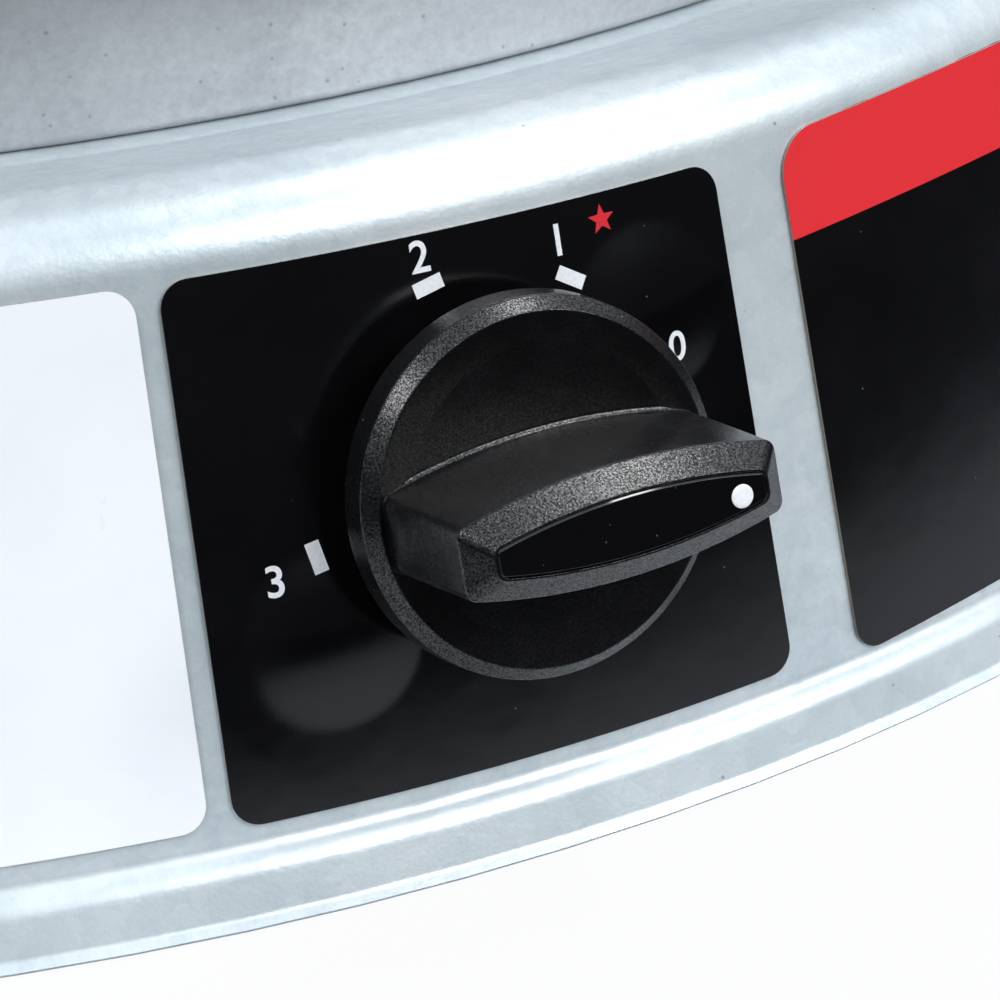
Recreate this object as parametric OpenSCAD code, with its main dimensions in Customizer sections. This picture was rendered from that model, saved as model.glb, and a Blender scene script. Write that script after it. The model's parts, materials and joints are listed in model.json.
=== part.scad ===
// Portable propane convection heater, round, standing on its drawn base.
// Origin: centre of the base's foot ring, on the floor. +Z up, the control knob faces -Y.
// Sheet parts are drawn as one outline of their outer face, rounded at the bends, and given their
// thickness by sheet(). Things on the sloping front are placed by on_slope().

/* [Base] */
// Diameter of the circle on which the foot lip stands
base_d = 450; // [430:5:480]
// Thickness of the base's sheet
base_t = 1; // [0.8:0.1:1.4]
// How far the band's foot is drawn in from that circle
lip_w = 0.35; // [0.2:0.05:0.6]
// Reach of the flared lip past the band's foot
lip_flare = 0.8; // [0.7:0.05:1.2]
// Angle of the flared lip below level
lip_angle = 42; // [35:1:50]
// Inward lean of the band above the lip, across its height
band_lean = 1.87; // [1.4:0.01:2.2]
// Height of the band's top edge
band_h = 5.5; // [5:0.1:8]
// Width of the step between the band and the slope
step_w = 1.64; // [1.5:0.02:3]
// Rise of the step
step_h = 1.2; // [1:0.1:1.4]
// Radius of the soft bend from the band into the step
band_bend = 4.2; // [2:0.1:4.4]
// Radius of the soft bend from the step into the slope
step_bend = 2.2; // [1:0.1:2.4]
// Angle of the sloping side from upright
slope_angle = 14.1; // [12:0.1:16]
// Length of the slope from the step to its corner with the dished top
slope_len = 62.3; // [60:0.1:68]
// Radius of the shoulder between the slope and the dished top
shoulder_r = 8; // [6:0.5:10]
// Fall of the dished top towards the deck
dish_angle = 13.5; // [11:0.5:15]
// Width of the dished top, from the slope's corner in to the flat deck
dish_w = 25; // [20:0.5:32]
// Diameter of the hole in the middle of the deck
deck_hole_d = 72; // [66:1:78]
// Number of air slots in the slope on each side
side_slots = 9; // [5:1:11]

/* [Labels] */
// Thickness of the labels
label_t = 0.3; // [0.2:0.05:0.4]
// Corner radius of the labels
label_corner = 2.7; // [1:0.1:5]
// Height of the labels' lower edge above the step, along the slope
label_low = 2; // [1.5:0.1:4]
// Height of the labels along the slope
label_h = 51.5; // [48:0.1:52]
// Width of the control label at the knob's height
control_w = 57.8; // [52:0.2:62]
// Shift of the control label's middle from the knob, positive to the right
control_shift = -1.1; // [-2:0.1:2]
// Width of the data label
data_w = 84; // [60:1:100]
// Gap between the control label and the data label
data_gap = 2.3; // [1:0.1:6]
// Width of the notice label
notice_w = 112; // [80:1:130]
// Height of the notice label
notice_h = 53.3; // [51:0.1:53.5]
// Radius of the notice label's upper corners
notice_corner = 4.5; // [2:0.1:6]
// Gap between the control label and the notice label
notice_gap = 8.2; // [4:0.1:12]

/* [Knob] */
// Diameter of the knob's skirt
knob_d = 36; // [34:0.5:40]
// Height of the knob's axis above the step, along the slope
knob_up = 29.8; // [28:0.1:31]
// Travel of the knob when it is pushed
knob_push = 3.5; // [2.5:0.1:3.8]
// Gap between the slope and the skirt's rear edge at rest
skirt_gap = 5.6; // [5:0.1:7]
// Height of the skirt's side
skirt_h = 3.6; // [3:0.1:4.5]
// Inward lean of the skirt's side, across its height
skirt_draft = 0.2; // [0:0.1:0.6]
// Rise of the bevel round the knob's face
bevel_h = 1.3; // [1:0.1:2]
// Width of the bevel round the knob's face
bevel_w = 1.3; // [1:0.1:2]
// Length of the grip at its foot
grip_len = 31.8; // [29:0.2:32]
// Thickness of the grip in its middle, at its foot
grip_w = 11.1; // [10:0.1:12]
// Thickness of the grip at its ends, at its foot
grip_end_w = 6.9; // [6:0.1:8]
// Height of the grip above the knob's face
grip_h = 17.4; // [15:0.2:19]
// Bearing of the pointer at rest, up from the horizontal
rest_deg = 1.5; // [0:0.5:4]
// Diameter of the spindle
spindle_d = 6; // [5:0.2:6.4]

/* [Jacket and chamber] */
// Width of the deck left bare round the jacket
jacket_margin = 3; // [2:0.5:6]
// Height of the jacket
jacket_h = 179; // [170:1:200]
// Thickness of the jacket's sheet
jacket_t = 1; // [0.8:0.1:1.2]
// Number of air slots round the foot of the jacket
jacket_slots = 32; // [20:4:36]
// Outer diameter of the combustion chamber
chamber_d = 240; // [230:1:250]
// Height of the combustion chamber
chamber_h = 178; // [170:1:184]
// Number of outlet slots round the top of the chamber
chamber_slots = 20; // [12:2:24]

/* [Top and handle] */
// Distance the cap stands out beyond the jacket
cap_overhang = 7; // [4:0.5:12]
// Height of the open gap between the jacket and the cap
outlet_h = 24; // [20:1:32]
// Rise of the dome in the middle of the cap
dome_h = 28; // [20:1:36]
// Diameter of the bail's wire
wire_d = 6; // [5:0.2:7]
// Distance from the jacket to the middle of the bail's arms
bail_gap = 12; // [11:0.5:16]
// Reach of the bail beyond what lets its grip pass the jacket
bail_spare = 16.7; // [15:0.1:30]
// Diameter of the bail's grip
bail_grip_d = 22; // [18:1:22]

/* [Gas] */
// Diameter of the gas inlet's thread over its crests
inlet_thread_d = 15.88; // [14:0.01:17]
// Length of the gas inlet's thread
inlet_thread_len = 14; // [10:0.5:18]
// Distance of the gas inlet to the right of the middle
inlet_x = 40; // [36:1:48]
// Diameter of the burner head
burner_d = 120; // [110:1:130]
// Number of ports round the burner head
burner_ports = 28; // [16:2:32]

/* [Hidden] */

smooth = 96;          // sides of a plain round part
fit = 0.05;           // radial clearance of a running fit
seat_gap = 0.3;       // clearance between pieces that lie against a curved neighbour
flat_gap = 0.1;       // clearance under a flat head on a curved sheet
film = 0.1;           // adhesive between a label and the sheet under it
bite = 1;             // overlap of a cutter past the face it cuts
bend_step = 5;        // degrees between the points of a rounded bend
unrolled = 180 / PI;  // turns an arc's length over its radius into degrees

// base
base_r = base_d / 2;
band_foot_r = base_r - lip_w;
band_top_r = band_foot_r - band_lean;
crease_r = band_top_r - step_w;
crease_z = band_h + step_h;
lip_land = 0.2;       // depth of the flat on which the lip's lower edge stands
lip_tip_z = base_t * cos(lip_angle) - lip_land;
corner_r = crease_r - slope_len * sin(slope_angle);
corner_z = crease_z + slope_len * cos(slope_angle);
deck_r = corner_r - dish_w;
deck_z = corner_z - (corner_r - deck_r) * tan(dish_angle);
deck_under = deck_z - base_t;
function slope_r(up) = crease_r - up * sin(slope_angle);
function slope_z(up) = crease_z + up * cos(slope_angle);
// how far the round slope falls behind a flat that touches its front at the knob, x aside
function slope_drop(x) = x * x / (2 * slope_r(knob_up)) * cos(slope_angle);

// labels
control_deg = control_w / slope_r(knob_up) * unrolled;
control_from = control_shift / slope_r(knob_up) * unrolled - control_deg / 2;
control_to = control_from + control_deg;
data_to = control_from - data_gap / slope_r(knob_up) * unrolled;
data_from = data_to - data_w / slope_r(knob_up) * unrolled;
notice_from = control_to + notice_gap / slope_r(knob_up) * unrolled;
notice_to = notice_from + notice_w / slope_r(knob_up) * unrolled;

// knob, measured outwards from the slope along its own axis
knob_r = knob_d / 2;
skirt_top = skirt_gap + skirt_h;
face_z = skirt_top + bevel_h;
skirt_top_r = knob_r - skirt_draft;
face_r = skirt_top_r - bevel_w;
face_dish = 0.3;
grip_top = face_z + grip_h;
grip_edge = grip_top - 2.2;
grip_draft = 0.4;
grip_bevel = grip_draft + 2.2;
grip_arc_r = (pow(grip_len / 2, 2) + pow((grip_w - grip_end_w) / 2, 2)) / (grip_w - grip_end_w);
grip_arc_y = grip_arc_r - grip_w / 2;
inlay_depth = 0.6;
inlay_sunk = 0.25;
inlay_inset = grip_bevel + 0.2;
hub_r = 6;
hub_back = skirt_gap - 1;
pointer_x = 10.7;
pointer_r = 1.1;

// valve, measured inwards from the slope along the same axis
spindle_r = spindle_d / 2;
bracket_front = base_t + slope_drop(23) + flat_gap;
bracket_t = 1.5;
bonnet_front = bracket_front + bracket_t;
bonnet_wall = 2;
seat_t = 1;
collar_t = 1.5;
collar_r = 5.4;
bonnet_bore_r = 6;
collar_front = bonnet_front + bonnet_wall + seat_gap;
seat_front = collar_front + collar_t + fit;
spring_front = seat_front + seat_t;
spring_wire = 0.9;
bonnet_len = 17;
bonnet_r = 10;
body_front = bonnet_front + bonnet_len;
body_len = 30;
body_r = 13;
nipple_len = 12;
nipple_r = 6;
body_back = body_front + body_len;
nipple_back = body_back + nipple_len;
spindle_end = body_front + 12;
screw_x = 18.4;
screw_y = 11.6;
screw_r = 2;
screw_head_r = 3.6;
screw_head_h = 0.6;
screw_seat = slope_drop(screw_x - screw_head_r) - flat_gap;
bump_r = 7;
bump_in_r = 6.4;
bump_in_h = 1.25;
port_w = body_front + 8;
magnet_w = body_front + 20;
magnet_end = body_r + 15;

// heights of gas parts
function depth_y(w) = -slope_r(knob_up) + w * cos(slope_angle);
function depth_z(w) = slope_z(knob_up) - w * sin(slope_angle);
feed_lead = 4;
gas_z = depth_z(nipple_back + feed_lead);
feed_run = 21;
orifice_y = depth_y(nipple_back + feed_lead) + feed_run;
orifice_len = 18;
air_gap = 12;
venturi_y = orifice_y + orifice_len + air_gap;
tube_r = 13;
tube_t = 1.5;
elbow_r = 34;
inlet_z = depth_z(port_w);
inlet_bend_r = 14;
gas_tube_r = 3;
gas_tube_t = 1;
inlet_plate_y = base_r - 33;
inlet_plate_t = 2;
fitting_back = 14;
fitting_r = 8;
fitting_thread_from = base_r - 2;
fitting_tip = fitting_thread_from + inlet_thread_len;

// burner
burner_r = burner_d / 2;
burner_z = deck_z + 24;
burner_h = 20;
burner_wall = 4;
leg_ring_r = 46;
leg_r = 4;
chamber_r = chamber_d / 2;
shield_r = chamber_r - 8;
shield_z = deck_z + 6;
shield_t = 1;
bush_angle = -115;
bush_ring_r = (burner_r + shield_r) / 2 + 4;
sensor_z = burner_z + 11;
sensor_end_r = bush_ring_r - 7;
lead_r = 1.2;
lead_side = 2.2;

// jacket, chamber and top
jacket_r = deck_r - jacket_margin;
jacket_top = deck_z + jacket_h;
flange_w = 16;
chamber_z = deck_z + 12;
chamber_top = chamber_z + chamber_h;
chamber_t = 1;
post_ring_r = jacket_r - 9;
post_r = 3;
posts = 6;
cap_r = jacket_r + cap_overhang;
cap_rim_z = jacket_top + outlet_h;
cap_flat_z = cap_rim_z + 8;
cap_t = 1;

// handle
pivot_z = jacket_top - 18;
wire_r = wire_d / 2;
arm_x = jacket_r + bail_gap;
bail_bend_r = 46;
grip_r = bail_grip_d / 2;
bail_pass = jacket_r + jacket_t + grip_r + seat_gap;
bail_reach = bail_pass + bail_spare;
bail_lean = asin(bail_pass / bail_reach);
ear_in = arm_x - 6;
ear_t = 1.5;
pin_end = ear_in - 2.5;

// ---- helpers ----

function unit(v) = v / norm(v);
function turned(v, a) = [v[0] * cos(a) - v[1] * sin(a), v[0] * sin(a) + v[1] * cos(a)];
function left_of(v) = [-v[1], v[0]];

// points of the arc that rounds the corner b between a and c
function bend(a, b, c, r) =
    let (u = unit(b - a), v = unit(c - b))
    let (turn = acos(min(1, max(-1, u * v))), side = sign(u[0] * v[1] - u[1] * v[0]))
    let (start = b - u * r * tan(turn / 2), centre = start + left_of(u) * r * side)
    let (n = max(2, ceil(turn / bend_step)))
    [for (i = [0 : n]) centre + turned(start - centre, side * turn * i / n)];

// an outline of [x, z, radius] corners with its bends rounded
function rounded(p) = [
    for (i = [0 : len(p) - 1])
        let (here = [p[i][0], p[i][1]])
        each (i == 0 || i == len(p) - 1 || p[i][2] == 0)
            ? [here]
            : bend([p[i - 1][0], p[i - 1][1]], here, [p[i + 1][0], p[i + 1][1]], p[i][2])
];

// one point of the outline moved t to its left, mitred at a corner
function moved(p, i, t) =
    let (u = left_of(unit(p[max(i, 1)] - p[max(i, 1) - 1])))
    let (last = min(i, len(p) - 2), v = left_of(unit(p[last + 1] - p[last])))
    p[i] + (u + v) * t / (1 + u * v);

// closed outline of a sheet of thickness t to the left of the outline p
function sheet(p, t) = concat(p, [for (i = [len(p) - 1 : -1 : 0]) moved(p, i, t)]);

module sheet_turned(corners, t) {
    rotate_extrude($fn = 2 * smooth)
        polygon(sheet(rounded(corners), t));
}

// children stand on the slope: x to the right, y up the slope, z out of it
module on_slope(up, angle = 0) {
    rotate([0, 0, angle])
        translate([0, -slope_r(up), slope_z(up)])
            rotate([90 - slope_angle, 0, 0])
                children();
}

// a round bar on the knob's axis between two depths behind the slope
module valve_bar(r, from, to, sides = smooth) {
    translate([0, 0, -to])
        cylinder(r = r, h = to - from, $fn = sides);
}

// a round bar from point a to point b
module rod(a, b, r) {
    v = b - a;
    translate(a)
        rotate([0, acos(v[2] / norm(v)), atan2(v[1], v[0])])
            cylinder(r = r, h = norm(v), $fn = 32);
}

// rods through a list of points, with a slightly fuller ball at each bend
module lead(points, r) {
    for (i = [0 : len(points) - 2])
        rod(points[i], points[i + 1], r);
    for (i = [1 : len(points) - 2])
        translate(points[i])
            sphere(r = 1.1 * r, $fn = 32);
}

module hex_prism(across, h) {
    cylinder(d = across / cos(30), h = h, $fn = 6);
}

module tube(r, t, h) {
    difference() {
        cylinder(r = r, h = h, $fn = smooth);
        translate([0, 0, -bite])
            cylinder(r = r - t, h = h + 2 * bite, $fn = smooth);
    }
}

module around(count, from = 0) {
    for (i = [0 : count - 1])
        rotate([0, 0, from + i * 360 / count])
            children();
}

// a bar along +X from r = from to r = to at height z
module spoke(r, from, to, z) {
    translate([from, 0, z])
        rotate([0, 90, 0])
            cylinder(r = r, h = to - from, $fn = 48);
}

// ---- base ----

slot_w = 5;
slot_len = 26;
slot_pitch = 5.2;
base_screw_up = 7;
base_screw_deg = 45;
deck_air_holes = 16;
deck_air_r = 7;
deck_air_ring = (chamber_r + jacket_r) / 2;
inlet_hole_r = 12;

// a slot with round ends, upright in the drawing plane, cut through from -4 to +4
module slot_cutter(w, length) {
    translate([0, 0, -4])
        linear_extrude(8) {
            square([w, length - w], center = true);
            for (s = [-1, 1])
                translate([0, s * (length - w) / 2])
                    circle(d = w, $fn = 48);
        }
}

module side_slot_cutters() {
    for (side = [-1, 1], i = [0 : side_slots - 1])
        on_slope(knob_up, side * 90 + (i - (side_slots - 1) / 2) * slot_pitch)
            slot_cutter(slot_w, slot_len);
}

module bush_place() {
    rotate([0, 0, bush_angle])
        translate([bush_ring_r, 0, deck_z])
            children();
}

module base_pan() {
    color("#c3d0d6")
        difference() {
            sheet_turned([
                [band_foot_r + lip_flare, lip_tip_z, 0],
                [band_foot_r, lip_tip_z + lip_flare * tan(lip_angle), 1.3],
                [band_top_r, band_h, band_bend],
                [crease_r, crease_z, step_bend],
                [corner_r, corner_z, shoulder_r],
                [deck_r, deck_z, 4],
                [deck_hole_d / 2, deck_z, 0]
            ], base_t);
            on_slope(knob_up) {
                valve_bar(hub_r + 1.2, -bite, 6);
                for (s = [-1, 1])
                    translate([s * screw_x, s * screw_y, 0])
                        valve_bar(screw_r + fit, -bite, 6, 48);
            }
            side_slot_cutters();
            around(4, base_screw_deg)
                on_slope(base_screw_up)
                    valve_bar(screw_r + fit, -bite, 4, 48);
            around(deck_air_holes)
                translate([deck_air_ring, 0, deck_z - 4])
                    cylinder(r = deck_air_r, h = 8, $fn = 48);
            bush_place()
                translate([0, 0, -4])
                    cylinder(r = 7, h = 8, $fn = 48);
            translate([inlet_x, base_r - 30, inlet_z])
                rotate([-90, 0, 0])
                    cylinder(r = inlet_hole_r, h = 40, $fn = smooth);
            translate([0, 0, -bite])
                cylinder(r = base_r + 2, h = bite, $fn = smooth);
        }
}

plate_z = 2;
plate_t = 1;
plate_rim_up = 12;
bead_w = 8;

module bottom_plate() {
    back = (base_t + seat_gap) / cos(slope_angle);
    bead = 1.2;
    inner_r = 0.3 * base_r;
    outer_r = base_r - 57;
    color("#aab4b8")
        difference() {
            sheet_turned([
                [0, plate_z, 0],
                [inner_r - bead_w, plate_z, 4],
                [inner_r, plate_z - bead, 4],
                [inner_r + bead_w, plate_z, 4],
                [outer_r - bead_w, plate_z, 4],
                [outer_r, plate_z - bead, 4],
                [outer_r + bead_w, plate_z, 4],
                [crease_r - back - 0.6, plate_z, 2.5],
                [slope_r(plate_rim_up) - back, slope_z(plate_rim_up), 0]
            ], plate_t);
            around(4, base_screw_deg)
                on_slope(base_screw_up)
                    valve_bar(screw_r + fit, -bite, 8, 48);
        }
}

// a low round head with its shank, on the slope
module panel_screw(head_r, head_h, shank) {
    dome_r = (head_r * head_r + head_h * head_h) / (2 * head_h);
    intersection() {
        translate([0, 0, head_h - dome_r])
            sphere(r = dome_r, $fn = smooth);
        cylinder(r = head_r, h = head_h, $fn = smooth);
    }
    valve_bar(screw_r, -0.01, shank, 48);
}

module base_screws() {
    color("#8d9498")
        around(4, base_screw_deg)
            on_slope(base_screw_up)
                difference() {
                    translate([0, 0, flat_gap])
                        panel_screw(4, 2, 9);
                    translate([-2.6, -0.5, 1.2])
                        cube([5.2, 1, 3]);
                    translate([-0.5, -2.6, 1.2])
                        cube([1, 5.2, 3]);
                }
}

// ---- labels ----

// a corner of a label, square outside and round inside, cut away; turn is its quarter
module label_corner_cutter(up, angle, turn, r = label_corner) {
    on_slope(up, angle)
        rotate([0, 0, turn])
            translate([0, 0, -2])
                linear_extrude(4)
                    difference() {
                        translate([-bite, -bite])
                            square(r + bite);
                        translate([r, r])
                            circle(r = r, $fn = 48);
                    }
}

// a band of label sheet on the slope between two angles
module slope_band(from, to, low, high) {
    out = [cos(slope_angle), sin(slope_angle)];
    foot = [slope_r(low), slope_z(low)] + out * film;
    head = [slope_r(high), slope_z(high)] + out * film;
    rotate([0, 0, from - 90])
        rotate_extrude(angle = to - from, $fn = 4 * smooth)
            polygon([foot, foot + out * label_t, head + out * label_t, head]);
}

// a short label on the slope between two angles, with round corners
module slope_label(from, to, low, high) {
    difference() {
        slope_band(from, to, low, high);
        label_corner_cutter(low, from, 0);
        label_corner_cutter(low, to, 90);
        label_corner_cutter(high, to, 180);
        label_corner_cutter(high, from, 270);
    }
}

// round caps at the two bracket screws, square to the sheet, from z = low up to z = high
module screw_caps(r, low, high) {
    rise = high - low;
    cap_sphere_r = (r * r + rise * rise) / (2 * rise);
    for (s = [-1, 1])
        on_slope(knob_up + s * screw_y, asin(s * screw_x / slope_r(knob_up + s * screw_y)))
            intersection() {
                translate([0, 0, high - cap_sphere_r])
                    sphere(r = cap_sphere_r, $fn = smooth);
                translate([0, 0, low])
                    cylinder(r = r + 1, h = 2 * rise, $fn = smooth);
            }
}

// the label rides over the two screws under it in low domes
module control_label() {
    color("#121316")
        difference() {
            union() {
                slope_label(control_from, control_to, label_low, label_low + label_h);
                screw_caps(bump_r, film + label_t / 3, bump_in_h + label_t);
            }
            screw_caps(bump_in_r, -0.2, bump_in_h);
            on_slope(knob_up)
                valve_bar(hub_r + 1.8, -3, 3);
        }
}

module data_label() {
    color("#f2f5f8")
        slope_label(data_from, data_to, label_low + 0.5, label_low + label_h);
}

// a long label cut straight above and below: the slope's circles climb past it towards its ends,
// so its middle sits higher on the slope than its ends do
module notice_label() {
    mid = (notice_from + notice_to) / 2;
    half = (notice_to - notice_from) / 2;
    low = label_low - 1.4;
    high = low + notice_h;
    climb = slope_r(knob_up) * (1 - cos(half)) * sin(slope_angle);
    color("#1c1d22")
        difference() {
            intersection() {
                slope_band(notice_from, notice_to, low, high + climb);
                on_slope(0, mid)
                    translate([-notice_w, low + climb, -notice_w / 2])
                        cube([2 * notice_w, notice_h, notice_w]);
            }
            label_corner_cutter(low, notice_from, 0);
            label_corner_cutter(low, notice_to, 90);
            label_corner_cutter(high, notice_to, 180, notice_corner);
            label_corner_cutter(high, notice_from, 270, notice_corner);
        }
}

// ---- knob ----

// the grip's lens-shaped bar between two heights, its walls leaning in by shrink on the way up
module grip_lens(low, high, shrink_from, shrink_to) {
    h = high - low;
    intersection() {
        translate([0, grip_arc_y, low])
            cylinder(r1 = grip_arc_r - shrink_from, r2 = grip_arc_r - shrink_to, h = h, $fn = 360);
        translate([0, -grip_arc_y, low])
            cylinder(r1 = grip_arc_r - shrink_from, r2 = grip_arc_r - shrink_to, h = h, $fn = 360);
        translate([0, grip_w, low])
            rotate([90, 0, 0])
                linear_extrude(2 * grip_w)
                    polygon([
                        [-grip_len / 2 + shrink_from, 0],
                        [grip_len / 2 - shrink_from, 0],
                        [grip_len / 2 - shrink_to, h],
                        [-grip_len / 2 + shrink_to, h]
                    ]);
    }
}

module knob() {
    inner_r = knob_r - 2;
    color("#1b1b1d")
        on_slope(knob_up)
            difference() {
                union() {
                    rotate_extrude($fn = 2 * smooth)
                        polygon(concat(
                            rounded([
                                [0, hub_back, 0],
                                [hub_r, hub_back, 0],
                                [hub_r, face_z - 3, 0.6],
                                [inner_r, skirt_top - 1, 0.8],
                                [inner_r, skirt_gap, 0],
                                [knob_r, skirt_gap, 0.5],
                                [skirt_top_r, skirt_top, 0.5],
                                [face_r, face_z, 0.4],
                                [face_r - 3, face_z - face_dish, 6],
                                [0, face_z - face_dish, 0]
                            ])
                        ));
                    rotate([0, 0, rest_deg]) {
                        grip_lens(face_z - face_dish - bite, grip_edge, 0, grip_draft);
                        grip_lens(grip_edge, grip_top, grip_draft, grip_bevel);
                    }
                }
                rotate([0, 0, rest_deg])
                    grip_lens(grip_top - inlay_depth, grip_top + bite, inlay_inset, inlay_inset);
                translate([0, 0, hub_back - bite])
                    intersection() {
                        cylinder(r = spindle_r + fit, h = 11 + bite, $fn = smooth);
                        translate([-spindle_r - bite, -spindle_r - bite, 0])
                            cube([2 * (spindle_r + bite), 2 * spindle_r + bite - 1.4 + fit, 12 + bite]);
                    }
            }
}

module knob_inlay() {
    color("#0a0a0b")
        on_slope(knob_up)
            rotate([0, 0, rest_deg])
                difference() {
                    grip_lens(
                        grip_top - inlay_depth,
                        grip_top - inlay_sunk,
                        inlay_inset + fit,
                        inlay_inset + fit
                    );
                    translate([pointer_x, 0, grip_top - inlay_depth - bite])
                        cylinder(r = pointer_r, h = 3, $fn = 48);
                }
}

module knob_pointer() {
    color("#f4f6f8")
        on_slope(knob_up)
            rotate([0, 0, rest_deg])
                translate([pointer_x, 0, grip_top - inlay_depth])
                    cylinder(r = pointer_r, h = inlay_depth - 0.1, $fn = 48);
}

// split ring round the knob's hub that grips the spindle
module knob_clip() {
    color("#8f9498")
        on_slope(knob_up)
            translate([0, 0, hub_back + 0.6])
                difference() {
                    tube(hub_r + 0.9, 0.9 - fit, 1.6);
                    translate([0, -1, -bite])
                        cube([20, 2, 4]);
                }
}

// ---- valve ----

module valve_spindle() {
    flat_top = hub_back + 10.8;
    color("#c9a54a")
        on_slope(knob_up)
            difference() {
                union() {
                    translate([0, 0, -spindle_end])
                        cylinder(r = spindle_r, h = spindle_end + flat_top, $fn = smooth);
                    valve_bar(collar_r, collar_front, collar_front + collar_t);
                }
                translate([-10, spindle_r - 1.4, hub_back - 1])
                    cube([20, 10, 20]);
            }
}

module spring_seat() {
    color("#9aa0a4")
        on_slope(knob_up)
            difference() {
                valve_bar(bonnet_bore_r - 0.1, seat_front, seat_front + seat_t);
                valve_bar(spindle_r + fit, seat_front - bite, seat_front + seat_t + bite);
            }
}

// a coil of round wire, one ring of points for each step round the helix
module knob_spring() {
    coil_r = 4.6;
    turns = 6;
    per_turn = 18;
    sides = 8;
    rise = body_front - spring_front - spring_wire - 0.1;
    rings = turns * per_turn;
    points = [
        for (i = [0 : rings], j = [0 : sides - 1])
            let (a = i * 360 / per_turn, b = j * 360 / sides)
            let (r = coil_r + spring_wire / 2 * cos(b))
            [r * cos(a), r * sin(a), rise * i / rings + spring_wire / 2 * sin(b)]
    ];
    walls = [
        for (i = [0 : rings - 1], j = [0 : sides - 1])
            let (k = (j + 1) % sides)
            [i * sides + j, i * sides + k, (i + 1) * sides + k, (i + 1) * sides + j]
    ];
    color("#a8adb0")
        on_slope(knob_up)
            translate([0, 0, -body_front + spring_wire / 2 + 0.05])
                polyhedron(
                    points,
                    concat(
                        [[for (j = [sides - 1 : -1 : 0]) j]],
                        walls,
                        [[for (j = [0 : sides - 1]) rings * sides + j]]
                    )
                );
}

module valve_bonnet() {
    color("#b9923e")
        on_slope(knob_up)
            difference() {
                union() {
                    valve_bar(bonnet_r, bonnet_front, body_front);
                    translate([0, 0, -bonnet_front - 4])
                        hex_prism(22, 4);
                }
                valve_bar(spindle_r + fit, bonnet_front - bite, body_front + bite);
                valve_bar(bonnet_bore_r, bonnet_front + bonnet_wall, body_front + bite);
                for (s = [-1, 1])
                    translate([s * screw_x, s * screw_y, 0])
                        valve_bar(screw_r + 0.5, 0, body_front, 48);
            }
}

module valve_body() {
    color("#c9a54a")
        on_slope(knob_up)
            difference() {
                union() {
                    valve_bar(body_r, body_front, body_back);
                    valve_bar(nipple_r, body_back - bite, nipple_back);
                    translate([0, 0, -port_w])
                        spoke(5.5, 0, body_r + 7, 0);
                }
                valve_bar(spindle_r + fit, body_front - bite, spindle_end + knob_push + 1);
                translate([0, 0, -port_w])
                    spoke(gas_tube_r, 8, body_r + 7 + bite, 0);
                valve_bar(gas_tube_r, body_back, nipple_back + bite);
                translate([0, 0, -magnet_w])
                    spoke(4, -body_r - bite, -6, 0);
            }
}

module magnet_unit() {
    color("#8f9498")
        on_slope(knob_up)
            translate([0, 0, -magnet_w]) {
                spoke(4 - fit, -body_r - bite, -6 - seat_gap, 0);
                spoke(6.5, -magnet_end, -body_r - 0.1, 0);
            }
}

module valve_bracket() {
    w = 46;
    h = 34;
    color("#9ea6aa")
        on_slope(knob_up)
            translate([0, 0, -bracket_front - bracket_t])
                difference() {
                    translate([-w / 2, -h / 2, 0])
                        cube([w, h, bracket_t]);
                    translate([0, 0, -bite])
                        cylinder(r = spindle_r + 2, h = bracket_t + 2 * bite, $fn = smooth);
                    for (s = [-1, 1])
                        translate([s * screw_x, s * screw_y, -bite])
                            cylinder(r = screw_r + fit, h = bracket_t + 2 * bite, $fn = 48);
                }
}

module bracket_screws() {
    color("#8d9498")
        on_slope(knob_up)
            for (s = [-1, 1])
                translate([s * screw_x, s * screw_y, -screw_seat])
                    panel_screw(screw_head_r, screw_head_h, bonnet_front + 4 - screw_seat);
}

piezo_y = body_r + 0.2;
piezo_size = [14, 12, 20];

module piezo_igniter() {
    color("#e6e4dc")
        on_slope(knob_up)
            translate([-piezo_size[0] / 2, piezo_y, -body_back + 2])
                difference() {
                    cube(piezo_size);
                    translate([piezo_size[0] / 2, piezo_size[1] / 2, -bite])
                        cylinder(r = lead_r + fit, h = 4, $fn = 32);
                }
}

// a place in the valve's frame, w behind the slope, as a point of the part
function behind(x, up, w) = [
    x,
    depth_y(w) - up * -sin(slope_angle),
    depth_z(w) + up * cos(slope_angle)
];
sensor_dir = [cos(bush_angle), sin(bush_angle)];
sensor_side = [-sin(bush_angle), cos(bush_angle)];
function sensor_point(r, side, z) = [
    sensor_dir[0] * r + sensor_side[0] * side,
    sensor_dir[1] * r + sensor_side[1] * side,
    z
];
lead_run_z = 44;

module igniter_lead() {
    start = behind(0, piezo_y + piezo_size[1] / 2, body_back - 2 - 2.5);
    leave = behind(0, piezo_y + piezo_size[1] / 2, body_back + 8);
    color("#e8e8e4")
        lead([
            start,
            leave,
            sensor_point(bush_ring_r, lead_side, lead_run_z),
            sensor_point(bush_ring_r, lead_side, sensor_z - 10),
            sensor_point(bush_ring_r - 2, 9, sensor_z),
            sensor_point(sensor_end_r + 0.1, 9, sensor_z)
        ], lead_r);
}

module thermocouple_lead() {
    start = behind(-magnet_end - 0.1, 0, magnet_w);
    turn = start + [-12, 0, 0];
    color("#b87333")
        lead([
            start,
            turn,
            turn + [0, 60, 0],
            sensor_point(bush_ring_r, -lead_side, lead_run_z - 6),
            sensor_point(bush_ring_r, -lead_side, sensor_z - 10),
            sensor_point(bush_ring_r - 2, -9, sensor_z),
            sensor_point(sensor_end_r - 0.9, -9, sensor_z)
        ], lead_r);
}

module igniter_electrode() {
    color("#efece2")
        rotate([0, 0, bush_angle])
            translate([0, 9, 0]) {
                spoke(3, burner_r + 6, sensor_end_r, sensor_z);
                spoke(1, burner_r + 2, burner_r + 6 + bite, sensor_z);
            }
}

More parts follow.
